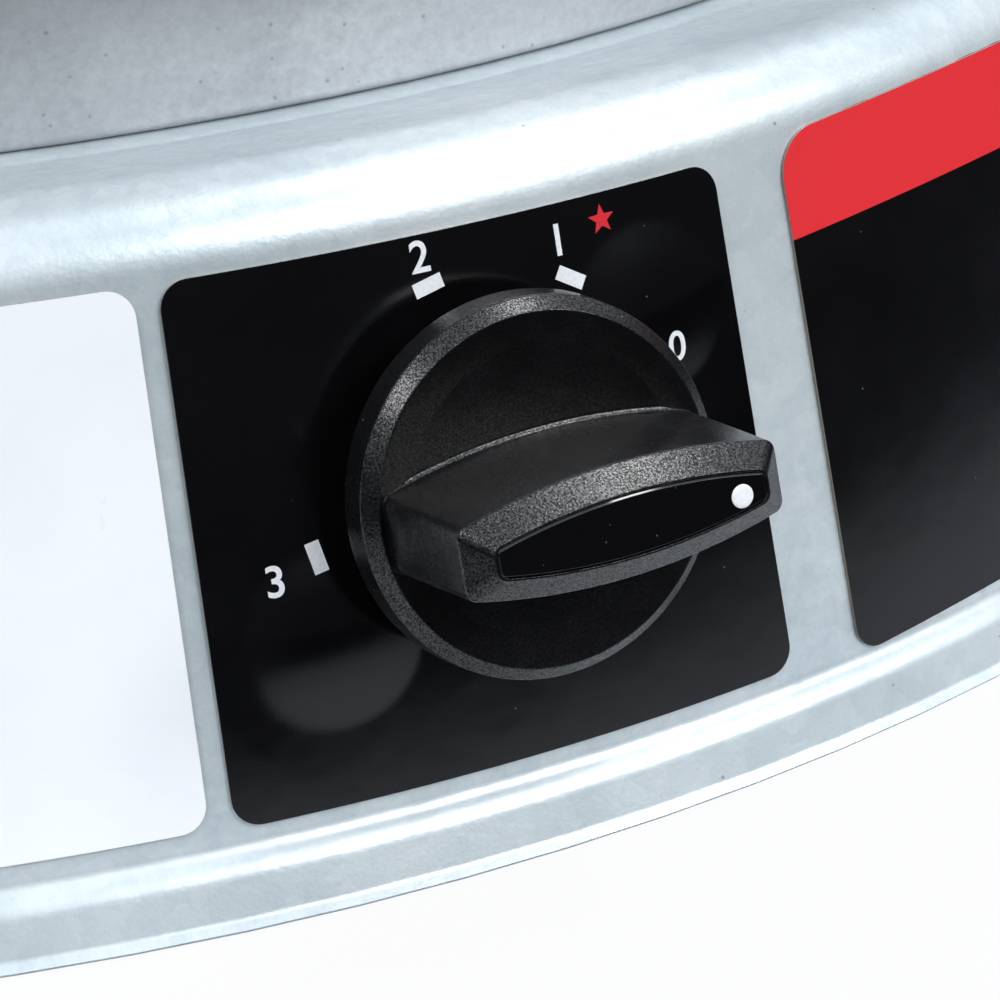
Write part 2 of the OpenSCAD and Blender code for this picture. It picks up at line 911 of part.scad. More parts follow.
module thermocouple() {
    color("#a08a5a")
        rotate([0, 0, bush_angle])
            translate([0, -9, 0]) {
                spoke(3, burner_r + 8, sensor_end_r - 1, sensor_z);
                spoke(2.4, burner_r + 2, burner_r + 8 + bite, sensor_z);
            }
}

module sensor_bracket() {
    x = burner_r + 13;
    color("#9ea6aa")
        rotate([0, 0, bush_angle])
            difference() {
                union() {
                    translate([x, -15, shield_z])
                        cube([1.5, 30, sensor_z + 7 - shield_z]);
                    translate([x - 10, -15, shield_z])
                        cube([11, 30, 1.5]);
                }
                for (s = [-1, 1])
                    translate([0, s * 9, 0])
                        spoke(3 + fit, x - bite, x + 3, sensor_z);
            }
}

module lead_bush() {
    color("#2a2a2a")
        bush_place()
            rotate_extrude($fn = smooth)
                polygon([
                    [4.2, -base_t - 1.6],
                    [8.8, -base_t - 1.6],
                    [8.8, -base_t],
                    [7 - fit, -base_t],
                    [7 - fit, 0],
                    [8.8, 0],
                    [8.8, 1.6],
                    [4.2, 1.6]
                ]);
}

// ---- gas line ----

// children drawn along +Z run along +Y at the gas inlet
module inlet_axis(y) {
    translate([inlet_x, y, inlet_z])
        rotate([-90, 0, 0])
            children();
}

module inlet_fitting() {
    nose = 4;
    color("#c9a54a")
        difference() {
            union() {
                inlet_axis(inlet_plate_y - fitting_back)
                    cylinder(r = fitting_r - 0.5, h = fitting_thread_from - inlet_plate_y + fitting_back, $fn = smooth);
                inlet_axis(inlet_plate_y + inlet_plate_t)
                    hex_prism(19, 8);
                inlet_axis(fitting_thread_from)
                    cylinder(d = inlet_thread_d, h = inlet_thread_len, $fn = smooth);
                inlet_axis(fitting_tip)
                    cylinder(r1 = 6.5, r2 = 4, h = nose, $fn = smooth);
            }
            inlet_axis(inlet_plate_y - fitting_back - bite)
                cylinder(r = gas_tube_r - gas_tube_t, h = 100, $fn = smooth);
            inlet_axis(inlet_plate_y - fitting_back - bite)
                cylinder(r = gas_tube_r, h = 6 + bite, $fn = smooth);
        }
}

module inlet_nut() {
    color("#b9923e")
        inlet_axis(inlet_plate_y - 6)
            difference() {
                hex_prism(22, 6);
                translate([0, 0, -bite])
                    cylinder(r = fitting_r - 0.5 + fit, h = 6 + 2 * bite, $fn = smooth);
            }
}

module inlet_bracket() {
    w = 36;
    top = deck_under;
    color("#9ea6aa")
        difference() {
            union() {
                translate([inlet_x - w / 2, inlet_plate_y, inlet_z - 16])
                    cube([w, inlet_plate_t, top - inlet_z + 16]);
                translate([inlet_x - w / 2, inlet_plate_y - 34, top - inlet_plate_t])
                    cube([w, 34 + inlet_plate_t, inlet_plate_t]);
            }
            inlet_axis(inlet_plate_y - bite)
                cylinder(r = fitting_r - 0.5 + fit, h = inlet_plate_t + 2 * bite, $fn = smooth);
        }
}

port_end = body_r + 7;

module gas_pipe(h) {
    tube(gas_tube_r - fit, gas_tube_t, h);
}

// a bend of the gas pipe by an angle, from -angle round to +X
module gas_bend(bend_r, angle) {
    rotate([0, 0, -angle])
        rotate_extrude(angle = angle, $fn = smooth)
            translate([bend_r, 0])
                difference() {
                    circle(r = gas_tube_r - fit, $fn = 48);
                    circle(r = gas_tube_r - fit - gas_tube_t, $fn = 48);
                }
}

module inlet_tube() {
    bend_x = inlet_x - inlet_bend_r;
    y0 = depth_y(port_w);
    into = 6;
    color("#b5bcc0") {
        translate([port_end - into, y0, inlet_z])
            rotate([0, 90, 0])
                gas_pipe(bend_x - port_end + into);
        translate([bend_x, y0 + inlet_bend_r, inlet_z])
            gas_bend(inlet_bend_r, 90);
        inlet_axis(y0 + inlet_bend_r)
            gas_pipe(inlet_plate_y - fitting_back - y0 - inlet_bend_r + 5);
    }
}

module feed_tube() {
    into = 8;
    color("#b5bcc0")
        lead([
            behind(0, 0, nipple_back - into),
            behind(0, 0, nipple_back + feed_lead),
            [0, orifice_y + 4, gas_z]
        ], gas_tube_r - fit);
}

module tube_nut() {
    difference() {
        hex_prism(13, 6);
        translate([0, 0, -bite])
            cylinder(r = gas_tube_r + fit, h = 8, $fn = 48);
    }
}

module tube_nuts() {
    color("#b9923e") {
        on_slope(knob_up)
            translate([port_end, 0, -port_w])
                rotate([0, 90, 0])
                    tube_nut();
        inlet_axis(inlet_plate_y - fitting_back - 6)
            tube_nut();
    }
}

module orifice_holder() {
    color("#c9a54a")
        translate([0, orifice_y, gas_z])
            rotate([-90, 0, 0])
                difference() {
                    union() {
                        hex_prism(18, orifice_len - 6);
                        cylinder(r = 5, h = orifice_len, $fn = smooth);
                    }
                    translate([0, 0, -bite])
                        cylinder(r = gas_tube_r, h = 5 + bite, $fn = 48);
                    cylinder(r = 0.9, h = orifice_len + bite, $fn = 24);
                }
}

// air and gas mixing tube with a flared mouth, an elbow and a stub up into the burner head
module burner_tube() {
    mouth = 12;
    straight = -elbow_r - venturi_y;
    stub = burner_z + burner_wall - gas_z - elbow_r;
    color("#8a8580") {
        translate([0, venturi_y, gas_z])
            rotate([-90, 0, 0])
                rotate_extrude($fn = smooth)
                    polygon(sheet(rounded([
                        [tube_r + 1.5, 0, 0],
                        [tube_r, mouth, 10],
                        [tube_r, straight, 0]
                    ]), tube_t));
        translate([0, -elbow_r, gas_z + elbow_r])
            rotate([0, 90, 0])
                rotate_extrude(angle = 90, $fn = smooth)
                    translate([elbow_r, 0])
                        difference() {
                            circle(r = tube_r, $fn = smooth);
                            circle(r = tube_r - tube_t, $fn = smooth);
                        }
        translate([0, 0, gas_z + elbow_r])
            tube(tube_r, tube_t, stub);
    }
}

// ---- burner ----

module burner_head() {
    top = burner_z + burner_h;
    inner = burner_r - burner_wall;
    socket = tube_r + fit;
    color("#3a3a3c")
        difference() {
            rotate_extrude($fn = smooth)
                polygon([
                    [socket, burner_z - 8],
                    [socket + 4, burner_z - 8],
                    [socket + 4, burner_z],
                    [burner_r, burner_z + 5],
                    [burner_r, top - 2],
                    [burner_r - 2, top],
                    [0, top],
                    [0, top - burner_wall],
                    [inner, top - burner_wall],
                    [inner, burner_z + 5 + burner_wall],
                    [socket, burner_z + burner_wall]
                ]);
            around(burner_ports)
                spoke(1.7, inner - 4, burner_r + 4, burner_z + 11);
        }
}

module burner_legs() {
    color("#7d7f82")
        around(3, 90)
            translate([leg_ring_r, 0, 0]) {
                // the burner's underside rises outwards, so the leg's top is cut to it
                difference() {
                    translate([0, 0, deck_z])
                        cylinder(r = leg_r, h = burner_z - deck_z + 6, $fn = 48);
                    translate([-leg_ring_r, 0, 0])
                        rotate_extrude($fn = smooth)
                            polygon([
                                [tube_r + 4, burner_z],
                                [burner_r, burner_z + 5],
                                [burner_r, burner_z + 30],
                                [tube_r + 4, burner_z + 30]
                            ]);
                }
            }
}

module heat_shield() {
    color("#a9b0b3")
        difference() {
            sheet_turned([
                [shield_r, deck_z, 0],
                [shield_r, shield_z, 2],
                [deck_hole_d / 2 + 2, shield_z, 0]
            ], shield_t);
            around(3, 90)
                translate([leg_ring_r, 0, shield_z - 4])
                    cylinder(r = leg_r + 0.5, h = 8, $fn = 48);
            bush_place()
                cylinder(r = 9.5, h = 10, $fn = 48);
        }
}

module flame_spreader() {
    low = burner_z + burner_h;
    color("#6e6a66") {
        sheet_turned([
            [burner_r + 12, low + 16, 0],
            [burner_r + 10, low + 20, 2],
            [burner_r / 2, low + 28, 12],
            [0, low + 28, 0]
        ], 1.2);
        around(3, 30)
            translate([burner_r - 20, 0, low])
                cylinder(r = 3, h = 25, $fn = 48);
    }
}

module combustion_chamber() {
    color("#9a9a98")
        difference() {
            sheet_turned([
                [chamber_r, chamber_z, 0],
                [chamber_r, chamber_top - 2, 1.5],
                [chamber_r - 8, chamber_top - 2, 0]
            ], chamber_t);
            around(chamber_slots)
                translate([chamber_r, 0, chamber_top - 29])
                    rotate([90, 0, 90])
                        slot_cutter(7, 30);
        }
}

foot_w = 18;

module chamber_feet() {
    color("#9ea6aa")
        around(3, 30)
            difference() {
                union() {
                    translate([chamber_r - 1, -foot_w / 2, deck_z])
                        cube([3, foot_w, 26]);
                    translate([chamber_r - 1, -foot_w / 2, deck_z])
                        cube([16, foot_w, 1.5]);
                }
                translate([0, 0, chamber_z])
                    cylinder(r = chamber_r, h = 40, $fn = 2 * smooth);
                translate([0, 0, deck_z - bite])
                    cylinder(r = chamber_r, h = 40, $fn = 2 * smooth);
            }
}

module baffle_plate() {
    z = chamber_top - 12;
    disc_r = 0.7 * chamber_r;
    color("#8f8d8a")
        difference() {
            union() {
                translate([0, 0, z])
                    cylinder(r = disc_r, h = 1, $fn = smooth);
                around(3, 30)
                    translate([disc_r - 14, -6, z])
                        cube([chamber_r - disc_r + 20, 12, 1]);
            }
            difference() {
                translate([0, 0, z - 4])
                    cylinder(r = chamber_r + 40, h = 8, $fn = smooth);
                translate([0, 0, z - 5])
                    cylinder(r = chamber_r - chamber_t, h = 10, $fn = 2 * smooth);
            }
        }
}

spacer_z = deck_z + 0.55 * jacket_h;

module jacket_spacers() {
    color("#9ea6aa")
        around(4, 45)
            difference() {
                translate([chamber_r - 2, -7, spacer_z])
                    cube([jacket_r - chamber_r + 6, 14, 1.5]);
                translate([0, 0, spacer_z - 4])
                    cylinder(r = chamber_r, h = 12, $fn = 2 * smooth);
                difference() {
                    translate([0, 0, spacer_z - 4])
                        cylinder(r = jacket_r + 20, h = 12, $fn = smooth);
                    translate([0, 0, spacer_z - 5])
                        cylinder(r = jacket_r - jacket_t, h = 14, $fn = 2 * smooth);
                }
            }
}

// ---- jacket ----

seam_rivets = 4;
seam_margin = 14;
seam_pitch = (jacket_h - 2 * seam_margin) / (seam_rivets - 1);
bead_z = deck_z + seam_margin + (seam_rivets - 1.5) * seam_pitch;
bead_out = 2;
bead_half = 5;
jacket_slot_z = deck_z + 36;
jacket_slot_h = 40;
jacket_slot_w = 8;
rivet_r = 2.4;

lap_deg = 7;
lap_margin = 3;

// the jacket's own sheet runs on over its other end at the back, bead and all
module lap_seam() {
    side = rounded([
        [jacket_r, deck_z + lap_margin, 0],
        [jacket_r, bead_z - bead_half, 3],
        [jacket_r + bead_out, bead_z, 3],
        [jacket_r, bead_z + bead_half, 3],
        [jacket_r, jacket_top - lap_margin, 0]
    ]);
    inner = [for (i = [0 : len(side) - 1]) moved(side, i, jacket_t / 3)];
    rotate([0, 0, 90 - lap_deg / 2])
        rotate_extrude(angle = lap_deg, $fn = 2 * smooth)
            polygon(sheet(inner, -jacket_t * 4 / 3));
}

module outer_jacket() {
    color("#b4b6b8")
        difference() {
            union() {
                sheet_turned([
                    [jacket_r - flange_w, deck_z, 0],
                    [jacket_r, deck_z, 1.2],
                    [jacket_r, bead_z - bead_half, 3],
                    [jacket_r + bead_out, bead_z, 3],
                    [jacket_r, bead_z + bead_half, 3],
                    [jacket_r, jacket_top, 1.5],
                    [jacket_r - flange_w, jacket_top, 0]
                ], jacket_t);
                lap_seam();
            }
            around(jacket_slots, 180 / jacket_slots)
                translate([jacket_r, 0, jacket_slot_z + jacket_slot_h / 2])
                    rotate([90, 0, 90])
                        slot_cutter(jacket_slot_w, jacket_slot_h);
            around(posts)
                translate([post_ring_r, 0, jacket_top - 4])
                    cylinder(r = post_r + fit, h = 8, $fn = 48);
            for (i = [0 : seam_rivets - 1])
                seam_rivet_place(i)
                    spoke(rivet_r + fit, -6, 6, 0);
            ear_rivet_places()
                spoke(rivet_r + fit, -6, 6, 0);
        }
}

// places on the jacket's outer face, +X outwards
module seam_rivet_place(i) {
    rotate([0, 0, 90])
        translate([jacket_r + jacket_t, 0, deck_z + seam_margin + i * seam_pitch])
            children();
}

// a rivet along +X through sheet of the given grip, its round head at the front
module rivet(grip) {
    head_r = 4.1;
    head_h = 2;
    tail_r = 3.4;
    tail_h = 1;
    rotate([0, 90, 0])
        rotate_extrude($fn = smooth)
            polygon(rounded([
                [0, -grip - tail_h, 0],
                [tail_r, -grip - tail_h, 0.4],
                [tail_r, -grip, 0],
                [rivet_r, -grip, 0],
                [rivet_r, 0, 0],
                [head_r, 0, 0],
                [head_r - 0.6, head_h, 2],
                [0, head_h, 0]
            ]));
}

module jacket_rivets() {
    color("#a2a7aa")
        for (i = [0 : seam_rivets - 1])
            seam_rivet_place(i)
                translate([flat_gap, 0, 0])
                    rivet(2 * jacket_t + 2 * flat_gap);
}

// ---- top ----

module top_cap() {
    color("#b4b6b8")
        difference() {
            sheet_turned([
                [cap_r, cap_rim_z, 0],
                [cap_r, cap_flat_z, 4],
                [post_ring_r - 12, cap_flat_z, 20],
                [100, cap_flat_z + 0.84 * dome_h, 60],
                [40, cap_flat_z + dome_h, 60],
                [0, cap_flat_z + dome_h, 0]
            ], cap_t);
            around(posts)
                translate([post_ring_r, 0, cap_flat_z - 4])
                    cylinder(r = post_r + fit, h = 8, $fn = 48);
        }
}

module cap_posts() {
    color("#8d9498")
        around(posts)
            translate([post_ring_r, 0, 0]) {
                translate([0, 0, jacket_top - 4])
                    cylinder(r = post_r, h = cap_flat_z - jacket_top + 8, $fn = 48);
                translate([0, 0, jacket_top - jacket_t - 3])
                    hex_prism(10, 3);
                translate([0, 0, jacket_top])
                    cylinder(r = post_r + 1.5, h = cap_flat_z - cap_t - jacket_top, $fn = 48);
            }
}

module cap_nuts() {
    color("#c2c6c8")
        around(posts)
            translate([post_ring_r, 0, cap_flat_z])
                difference() {
                    union() {
                        hex_prism(10, 5);
                        translate([0, 0, 5])
                            intersection() {
                                sphere(r = 4.6, $fn = 48);
                                cylinder(r = 6, h = 6, $fn = 48);
                            }
                    }
                    translate([0, 0, -bite])
                        cylinder(r = post_r + fit, h = bite + 4.6, $fn = 48);
                }
}

guard_wire_r = 2;
guard_count = 2;

module guard_rings() {
    pitch = outlet_h / (guard_count + 1);
    color("#9ca2a5")
        for (i = [1 : guard_count])
            translate([0, 0, jacket_top + i * pitch])
                rotate_extrude($fn = 2 * smooth)
                    translate([post_ring_r + post_r + 1.5 + guard_wire_r + seat_gap, 0])
                        circle(r = guard_wire_r, $fn = 32);
}

// ---- handle ----

// children drawn in the bail's own plane: x across, y from the pivots to the grip
module bail_frame() {
    translate([0, 0, pivot_z])
        rotate([bail_lean - 90, 0, 0])
            children();
}

module handle_bail() {
    straight = bail_reach - bail_bend_r;
    half = arm_x - bail_bend_r;
    color("#2b2c2e")
        bail_frame() {
            for (s = [-1, 1]) {
                mirror([s < 0 ? 1 : 0, 0, 0]) {
                    // the pin end turns in through the ear
                    spoke(wire_r, pin_end, arm_x, 0);
                    translate([arm_x, 0, 0])
                        sphere(r = wire_r, $fn = 48);
                    translate([arm_x, 0, 0])
                        rotate([-90, 0, 0])
                            cylinder(r = wire_r, h = straight, $fn = 48);
                    translate([half, straight, 0])
                        rotate_extrude(angle = 90, $fn = 2 * smooth)
                            translate([bail_bend_r, 0])
                                circle(r = wire_r, $fn = 48);
                }
            }
            spoke_at_reach(wire_r, half);
        }
}

module spoke_at_reach(r, half) {
    translate([-half, bail_reach, 0])
        rotate([0, 90, 0])
            cylinder(r = r, h = 2 * half, $fn = 48);
}

grip_half = 55;

module handle_grip() {
    color("#1b1b1d")
        bail_frame()
            translate([-grip_half, bail_reach, 0])
                rotate([0, 90, 0])
                    difference() {
                        rotate_extrude($fn = smooth)
                            polygon(rounded([
                                [0, 0, 0],
                                [grip_r, 0, 3],
                                [grip_r, 2 * grip_half, 3],
                                [0, 2 * grip_half, 0]
                            ]));
                        translate([0, 0, -bite])
                            cylinder(r = wire_r + fit, h = 2 * grip_half + 2 * bite, $fn = 48);
                    }
}

ear_half = 13;
ear_low = pivot_z - 14;
ear_h = 28;
ear_flange_deg = 4.2;

module ear_rivet_places() {
    at = asin((ear_half + 7) / jacket_r);
    for (s = [0, 180], t = [-1, 1])
        rotate([0, 0, s + t * at])
            translate([jacket_r, 0, pivot_z])
                children();
}

// a hat-shaped bracket: two flanges on the jacket, two webs and a plate with the pivot hole
module ear() {
    start = asin((ear_half - ear_t) / jacket_r);
    difference() {
        union() {
            for (t = [-1, 1])
                rotate([0, 0, t > 0 ? start : -start - ear_flange_deg])
                    translate([0, 0, ear_low])
                        rotate_extrude(angle = ear_flange_deg, $fn = 4 * smooth)
                            translate([jacket_r, 0])
                                square([ear_t, ear_h]);
            for (t = [-1, 1])
                translate([jacket_r - 4, t > 0 ? ear_half - ear_t : -ear_half, ear_low])
                    cube([ear_in - jacket_r + 4 + ear_t, ear_t, ear_h]);
            translate([ear_in, -ear_half, ear_low])
                cube([ear_t, 2 * ear_half, ear_h]);
        }
        translate([0, 0, ear_low - bite])
            cylinder(r = jacket_r, h = ear_h + 2 * bite, $fn = 2 * smooth);
        spoke(wire_r + 0.08, ear_in - bite, ear_in + 3, pivot_z);
    }
}

module handle_ears() {
    color("#9ea6aa")
        difference() {
            for (s = [0, 180])
                rotate([0, 0, s])
                    ear();
            ear_rivet_places()
                spoke(rivet_r + fit, -6, 8, 0);
        }
}

module ear_rivets() {
    color("#a2a7aa")
        ear_rivet_places()
            translate([ear_t + flat_gap, 0, 0])
                rivet(jacket_t + ear_t + 2 * flat_gap);
}

// ---- what is drawn ----

base_pan();
bottom_plate();
base_screws();
control_label();
data_label();
notice_label();
knob();
knob_inlay();
knob_pointer();
knob_clip();
valve_spindle();
spring_seat();
knob_spring();
valve_bonnet();
valve_body();
magnet_unit();
valve_bracket();
bracket_screws();
piezo_igniter();
igniter_lead();
igniter_electrode();
thermocouple();
thermocouple_lead();
sensor_bracket();
lead_bush();
inlet_fitting();
inlet_nut();
inlet_bracket();
inlet_tube();
feed_tube();
tube_nuts();
orifice_holder();
burner_tube();
burner_head();
burner_legs();
heat_shield();
flame_spreader();
combustion_chamber();
chamber_feet();
baffle_plate();
jacket_spacers();
outer_jacket();
jacket_rivets();
top_cap();
cap_posts();
cap_nuts();
guard_rings();
handle_bail();
handle_grip();
handle_ears();
ear_rivets();
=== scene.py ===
import json
import math
import bmesh
import bpy
import numpy as np
from mathutils import Matrix


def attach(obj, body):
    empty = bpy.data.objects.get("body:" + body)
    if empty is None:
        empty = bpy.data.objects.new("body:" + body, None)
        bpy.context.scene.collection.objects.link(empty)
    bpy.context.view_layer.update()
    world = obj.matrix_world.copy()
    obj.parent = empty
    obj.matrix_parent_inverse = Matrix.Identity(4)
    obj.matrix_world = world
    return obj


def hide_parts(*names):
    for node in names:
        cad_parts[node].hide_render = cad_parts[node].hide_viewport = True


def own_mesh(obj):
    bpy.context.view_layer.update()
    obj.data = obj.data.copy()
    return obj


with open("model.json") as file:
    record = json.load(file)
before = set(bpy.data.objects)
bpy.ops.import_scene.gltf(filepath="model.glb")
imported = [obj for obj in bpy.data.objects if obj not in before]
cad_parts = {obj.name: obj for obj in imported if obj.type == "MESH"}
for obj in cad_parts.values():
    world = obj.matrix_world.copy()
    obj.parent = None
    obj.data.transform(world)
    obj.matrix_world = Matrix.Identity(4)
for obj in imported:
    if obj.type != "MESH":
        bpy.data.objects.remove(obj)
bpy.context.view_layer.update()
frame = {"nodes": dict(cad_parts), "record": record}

mm = 0.001

# the sloping front that carries the labels and the knob: its lean in degrees, the rest in mm
slope = dict(angle=14.1, radius=221.14, foot=6.7, knobUp=29.8, labelFace=0.4)
tilt = math.radians(slope["angle"])


def hexColour(text):
    # sRGB hex to linear, channel by channel
    srgb = np.array([int(text[i:i + 2], 16) for i in (1, 3, 5)]) / 255
    linear = np.where(srgb <= 0.04045, srgb / 12.92, ((srgb + 0.055) / 1.055) ** 2.4)
    return (*linear.tolist(), 1.0)


def addNode(tree, kind, inputs=None, **settings):
    # one node, its settings, and for each input either a value or a link
    node = tree.nodes.new(kind)
    for name, value in settings.items():
        setattr(node, name, value)
    for name, value in (inputs or {}).items():
        if isinstance(value, bpy.types.NodeSocket):
            tree.links.new(value, node.inputs[name])
        else:
            node.inputs[name].default_value = value
    return node


def startMaterial(name, roughness, metallic=0.0, ior=None):
    # an empty material with its shader, and the piece's own coordinates in millimetres
    material = bpy.data.materials.new(name)
    material.use_nodes = True
    tree = material.node_tree
    tree.nodes.clear()
    shader = addNode(tree, "ShaderNodeBsdfPrincipled", {"Roughness": roughness, "Metallic": metallic})
    if ior:
        shader.inputs["IOR"].default_value = ior
    addNode(tree, "ShaderNodeOutputMaterial", {"Surface": shader.outputs[0]})
    here = addNode(tree, "ShaderNodeTexCoord").outputs["Object"]
    inMm = addNode(tree, "ShaderNodeMapping", {"Vector": here, "Scale": [1 / mm] * 3})
    return material, tree, shader, inMm.outputs[0]


def addNoise(tree, place, size, detail=3.0, roughness=0.55):
    # cloud pattern whose blobs are about size mm across
    return addNode(tree, "ShaderNodeTexNoise", {
        "Vector": place, "Scale": 1 / size, "Detail": detail, "Roughness": roughness}).outputs["Fac"]


def spread(tree, value, fromLow, fromHigh, toLow, toHigh):
    # carries a pattern's own range over to another one
    return addNode(tree, "ShaderNodeMapRange", {
        "Value": value, "From Min": fromLow, "From Max": fromHigh, "To Min": toLow, "To Max": toHigh,
    }).outputs[0]


def calculate(tree, operation, *values):
    # one sum or comparison of numbers or node outputs
    return addNode(tree, "ShaderNodeMath", dict(enumerate(values)), operation=operation).outputs[0]


def mixColours(tree, amount, first, second):
    # amount 0 gives the first colour and 1 the second; each is a hex text, a tuple or another node's output
    first, second = (hexColour(colour) if isinstance(colour, str) else colour for colour in (first, second))
    return addNode(tree, "ShaderNodeMix", {0: amount, 6: first, 7: second}, data_type="RGBA").outputs[2]


def addSpecks(tree, place, apart, inner, outer, strength):
    # dots about apart mm from each other, which fade between two shares of that distance
    cells = addNode(tree, "ShaderNodeTexVoronoi", {"Vector": place, "Scale": 1 / apart})
    return spread(tree, cells.outputs["Distance"], inner, outer, strength, 0.0)


def addBump(tree, shader, height, depth, under=None):
    # depth in mm for a full swing of the height pattern
    inputs = {"Height": height, "Strength": 1.0, "Distance": depth * mm}
    if under:
        inputs["Normal"] = under
    bump = addNode(tree, "ShaderNodeBump", inputs).outputs[0]
    tree.links.new(bump, shader.inputs["Normal"])
    return bump


def link(tree, source, shader, name):
    tree.links.new(source, shader.inputs[name])


def cloudedFinish(name, roughness, tones, cloud, grain, metallic=0.0, ior=None, gloss=None):
    # a finish whose clouds go from one tone to another, with a fine relief; gloss is the roughness of the
    # first and of the last cloud
    material, tree, shader, place = startMaterial(name, roughness, metallic, ior)
    pattern = addNoise(tree, place, cloud["size"], cloud["detail"], cloud.get("rough", 0.55))
    link(tree, mixColours(tree, spread(tree, pattern, cloud["low"], cloud["high"], 0, 1), *tones), shader,
         "Base Color")
    if gloss:
        link(tree, spread(tree, pattern, 0.3, 0.7, *gloss), shader, "Roughness")
    relief = addNoise(tree, place, grain["size"], grain["detail"], grain.get("rough", 0.55))
    addBump(tree, shader, relief, grain["depth"])
    return material


# sheet and other metals

def galvanisedSheet():
    # hot-dip galvanised steel sheet: dull blue-white zinc, faint small flowers, cloudy tone, pin specks
    look = dict(zinc="#e0e8eb", shade="#b7c4ca", speck="#75808a", pins=(4.5, 0.03, 0.055, 0.6), warp=3.0,
                flower=2.4, flowerShare=0.2, cloud=24.0, cloudDepth=0.16, mottle=1.5, mottleShare=0.28,
                grain=0.5, grainDepth=0.022)
    material, tree, shader, place = startMaterial("galvanisedSheet", 0.36, metallic=0.42)
    bent = addNode(tree, "ShaderNodeTexNoise", {"Vector": place, "Scale": 1 / look["warp"], "Detail": 2.0})
    warped = addNode(tree, "ShaderNodeVectorMath", {
        0: bent.outputs["Color"], 1: [look["warp"]] * 3, 2: place}, operation="MULTIPLY_ADD").outputs[0]
    flowers = addNode(tree, "ShaderNodeTexVoronoi", {"Vector": warped, "Scale": 1 / look["flower"]})
    tone = addNode(tree, "ShaderNodeSeparateColor", {"Color": flowers.outputs["Color"]}).outputs[0]
    cloud = addNoise(tree, place, look["cloud"], 5.0, 0.6)
    mottle = addNoise(tree, place, look["mottle"], 5.0, 0.75)
    fine = calculate(tree, "MULTIPLY_ADD", tone, look["flowerShare"],
                     spread(tree, mottle, 0.35, 0.65, 0.0, look["mottleShare"]))
    amount = calculate(tree, "ADD", fine, spread(tree, cloud, 0.3, 0.7, -0.05, 0.5))
    colour = mixColours(tree, amount, look["zinc"], look["shade"])
    colour = mixColours(tree, addSpecks(tree, place, *look["pins"]), colour, look["speck"])
    link(tree, colour, shader, "Base Color")
    link(tree, spread(tree, mottle, 0.3, 0.7, 0.3, 0.42), shader, "Roughness")
    under = addBump(tree, shader, cloud, look["cloudDepth"])
    addBump(tree, shader, addNoise(tree, place, look["grain"]), look["grainDepth"], under)
    return material


def aluminisedSheet():
    # hot-dipped aluminised steel sheet: neutral and dull, with soft clouds, a fine mottle and dark grit
    look = dict(pale="#c3c4c7", dull="#9c9ea2", grit="#5f5f62", specks=(2.6, 0.05, 0.11, 0.4), cloud=28.0,
                cloudShare=0.55, cloudDepth=0.12, mottle=1.1, mottleShare=0.3, mottleDepth=0.02)
    material, tree, shader, place = startMaterial("aluminisedSheet", 0.42, metallic=0.5)
    cloud = addNoise(tree, place, look["cloud"], 4.0, 0.6)
    mottle = addNoise(tree, place, look["mottle"], 5.0, 0.7)
    amount = calculate(tree, "ADD", spread(tree, cloud, 0.3, 0.7, 0, look["cloudShare"]),
                       spread(tree, mottle, 0.35, 0.65, 0, look["mottleShare"]))
    colour = mixColours(tree, amount, look["pale"], look["dull"])
    colour = mixColours(tree, addSpecks(tree, place, *look["specks"]), colour, look["grit"])
    link(tree, colour, shader, "Base Color")
    link(tree, spread(tree, mottle, 0.3, 0.7, 0.38, 0.5), shader, "Roughness")
    under = addBump(tree, shader, cloud, look["cloudDepth"])
    addBump(tree, shader, mottle, look["mottleDepth"], under)
    return material


def heatedSteel():
    # plain steel sheet that has been hot: straw and blue temper bands that climb with height, in mm
    look = dict(cool="#8e8a84", straw="#8c7550", blue="#565a6c", soot="#3b3836", strawBand=(110, 175),
                blueBand=(185, 240), wander=90.0, grain=0.8, grainDepth=0.02)
    material, tree, shader, place = startMaterial("heatedSteel", 0.5, metallic=0.85)
    height = addNode(tree, "ShaderNodeSeparateXYZ", {"Vector": place}).outputs["Z"]
    wander = calculate(tree, "MULTIPLY", addNoise(tree, place, 30.0, 4.0), look["wander"])
    level = calculate(tree, "ADD", height, wander)
    colour = mixColours(tree, spread(tree, level, *look["strawBand"], 0, 1), look["cool"], look["straw"])
    colour = mixColours(tree, spread(tree, level, *look["blueBand"], 0, 1), colour, look["blue"])
    soot = spread(tree, addNoise(tree, place, 9.0, 5.0, 0.7), 0.5, 0.8, 0, 0.6)
    link(tree, mixColours(tree, soot, colour, look["soot"]), shader, "Base Color")
    link(tree, spread(tree, addNoise(tree, place, 4.0), 0.3, 0.7, 0.42, 0.6), shader, "Roughness")
    addBump(tree, shader, addNoise(tree, place, look["grain"]), look["grainDepth"])
    return material


def zincPlate(name="zincPlate", tone="#c6cbcf", dark="#9aa3a9", roughness=0.3):
    # bright zinc plating on turned or pressed steel: even, with fine tool lines and faint clouding
    return cloudedFinish(name, roughness, (tone, dark), dict(size=5.0, detail=4.0, low=0.35, high=0.7),
                         dict(size=0.5, detail=2.0, depth=0.006), metallic=1.0,
                         gloss=(roughness - 0.06, roughness + 0.1))


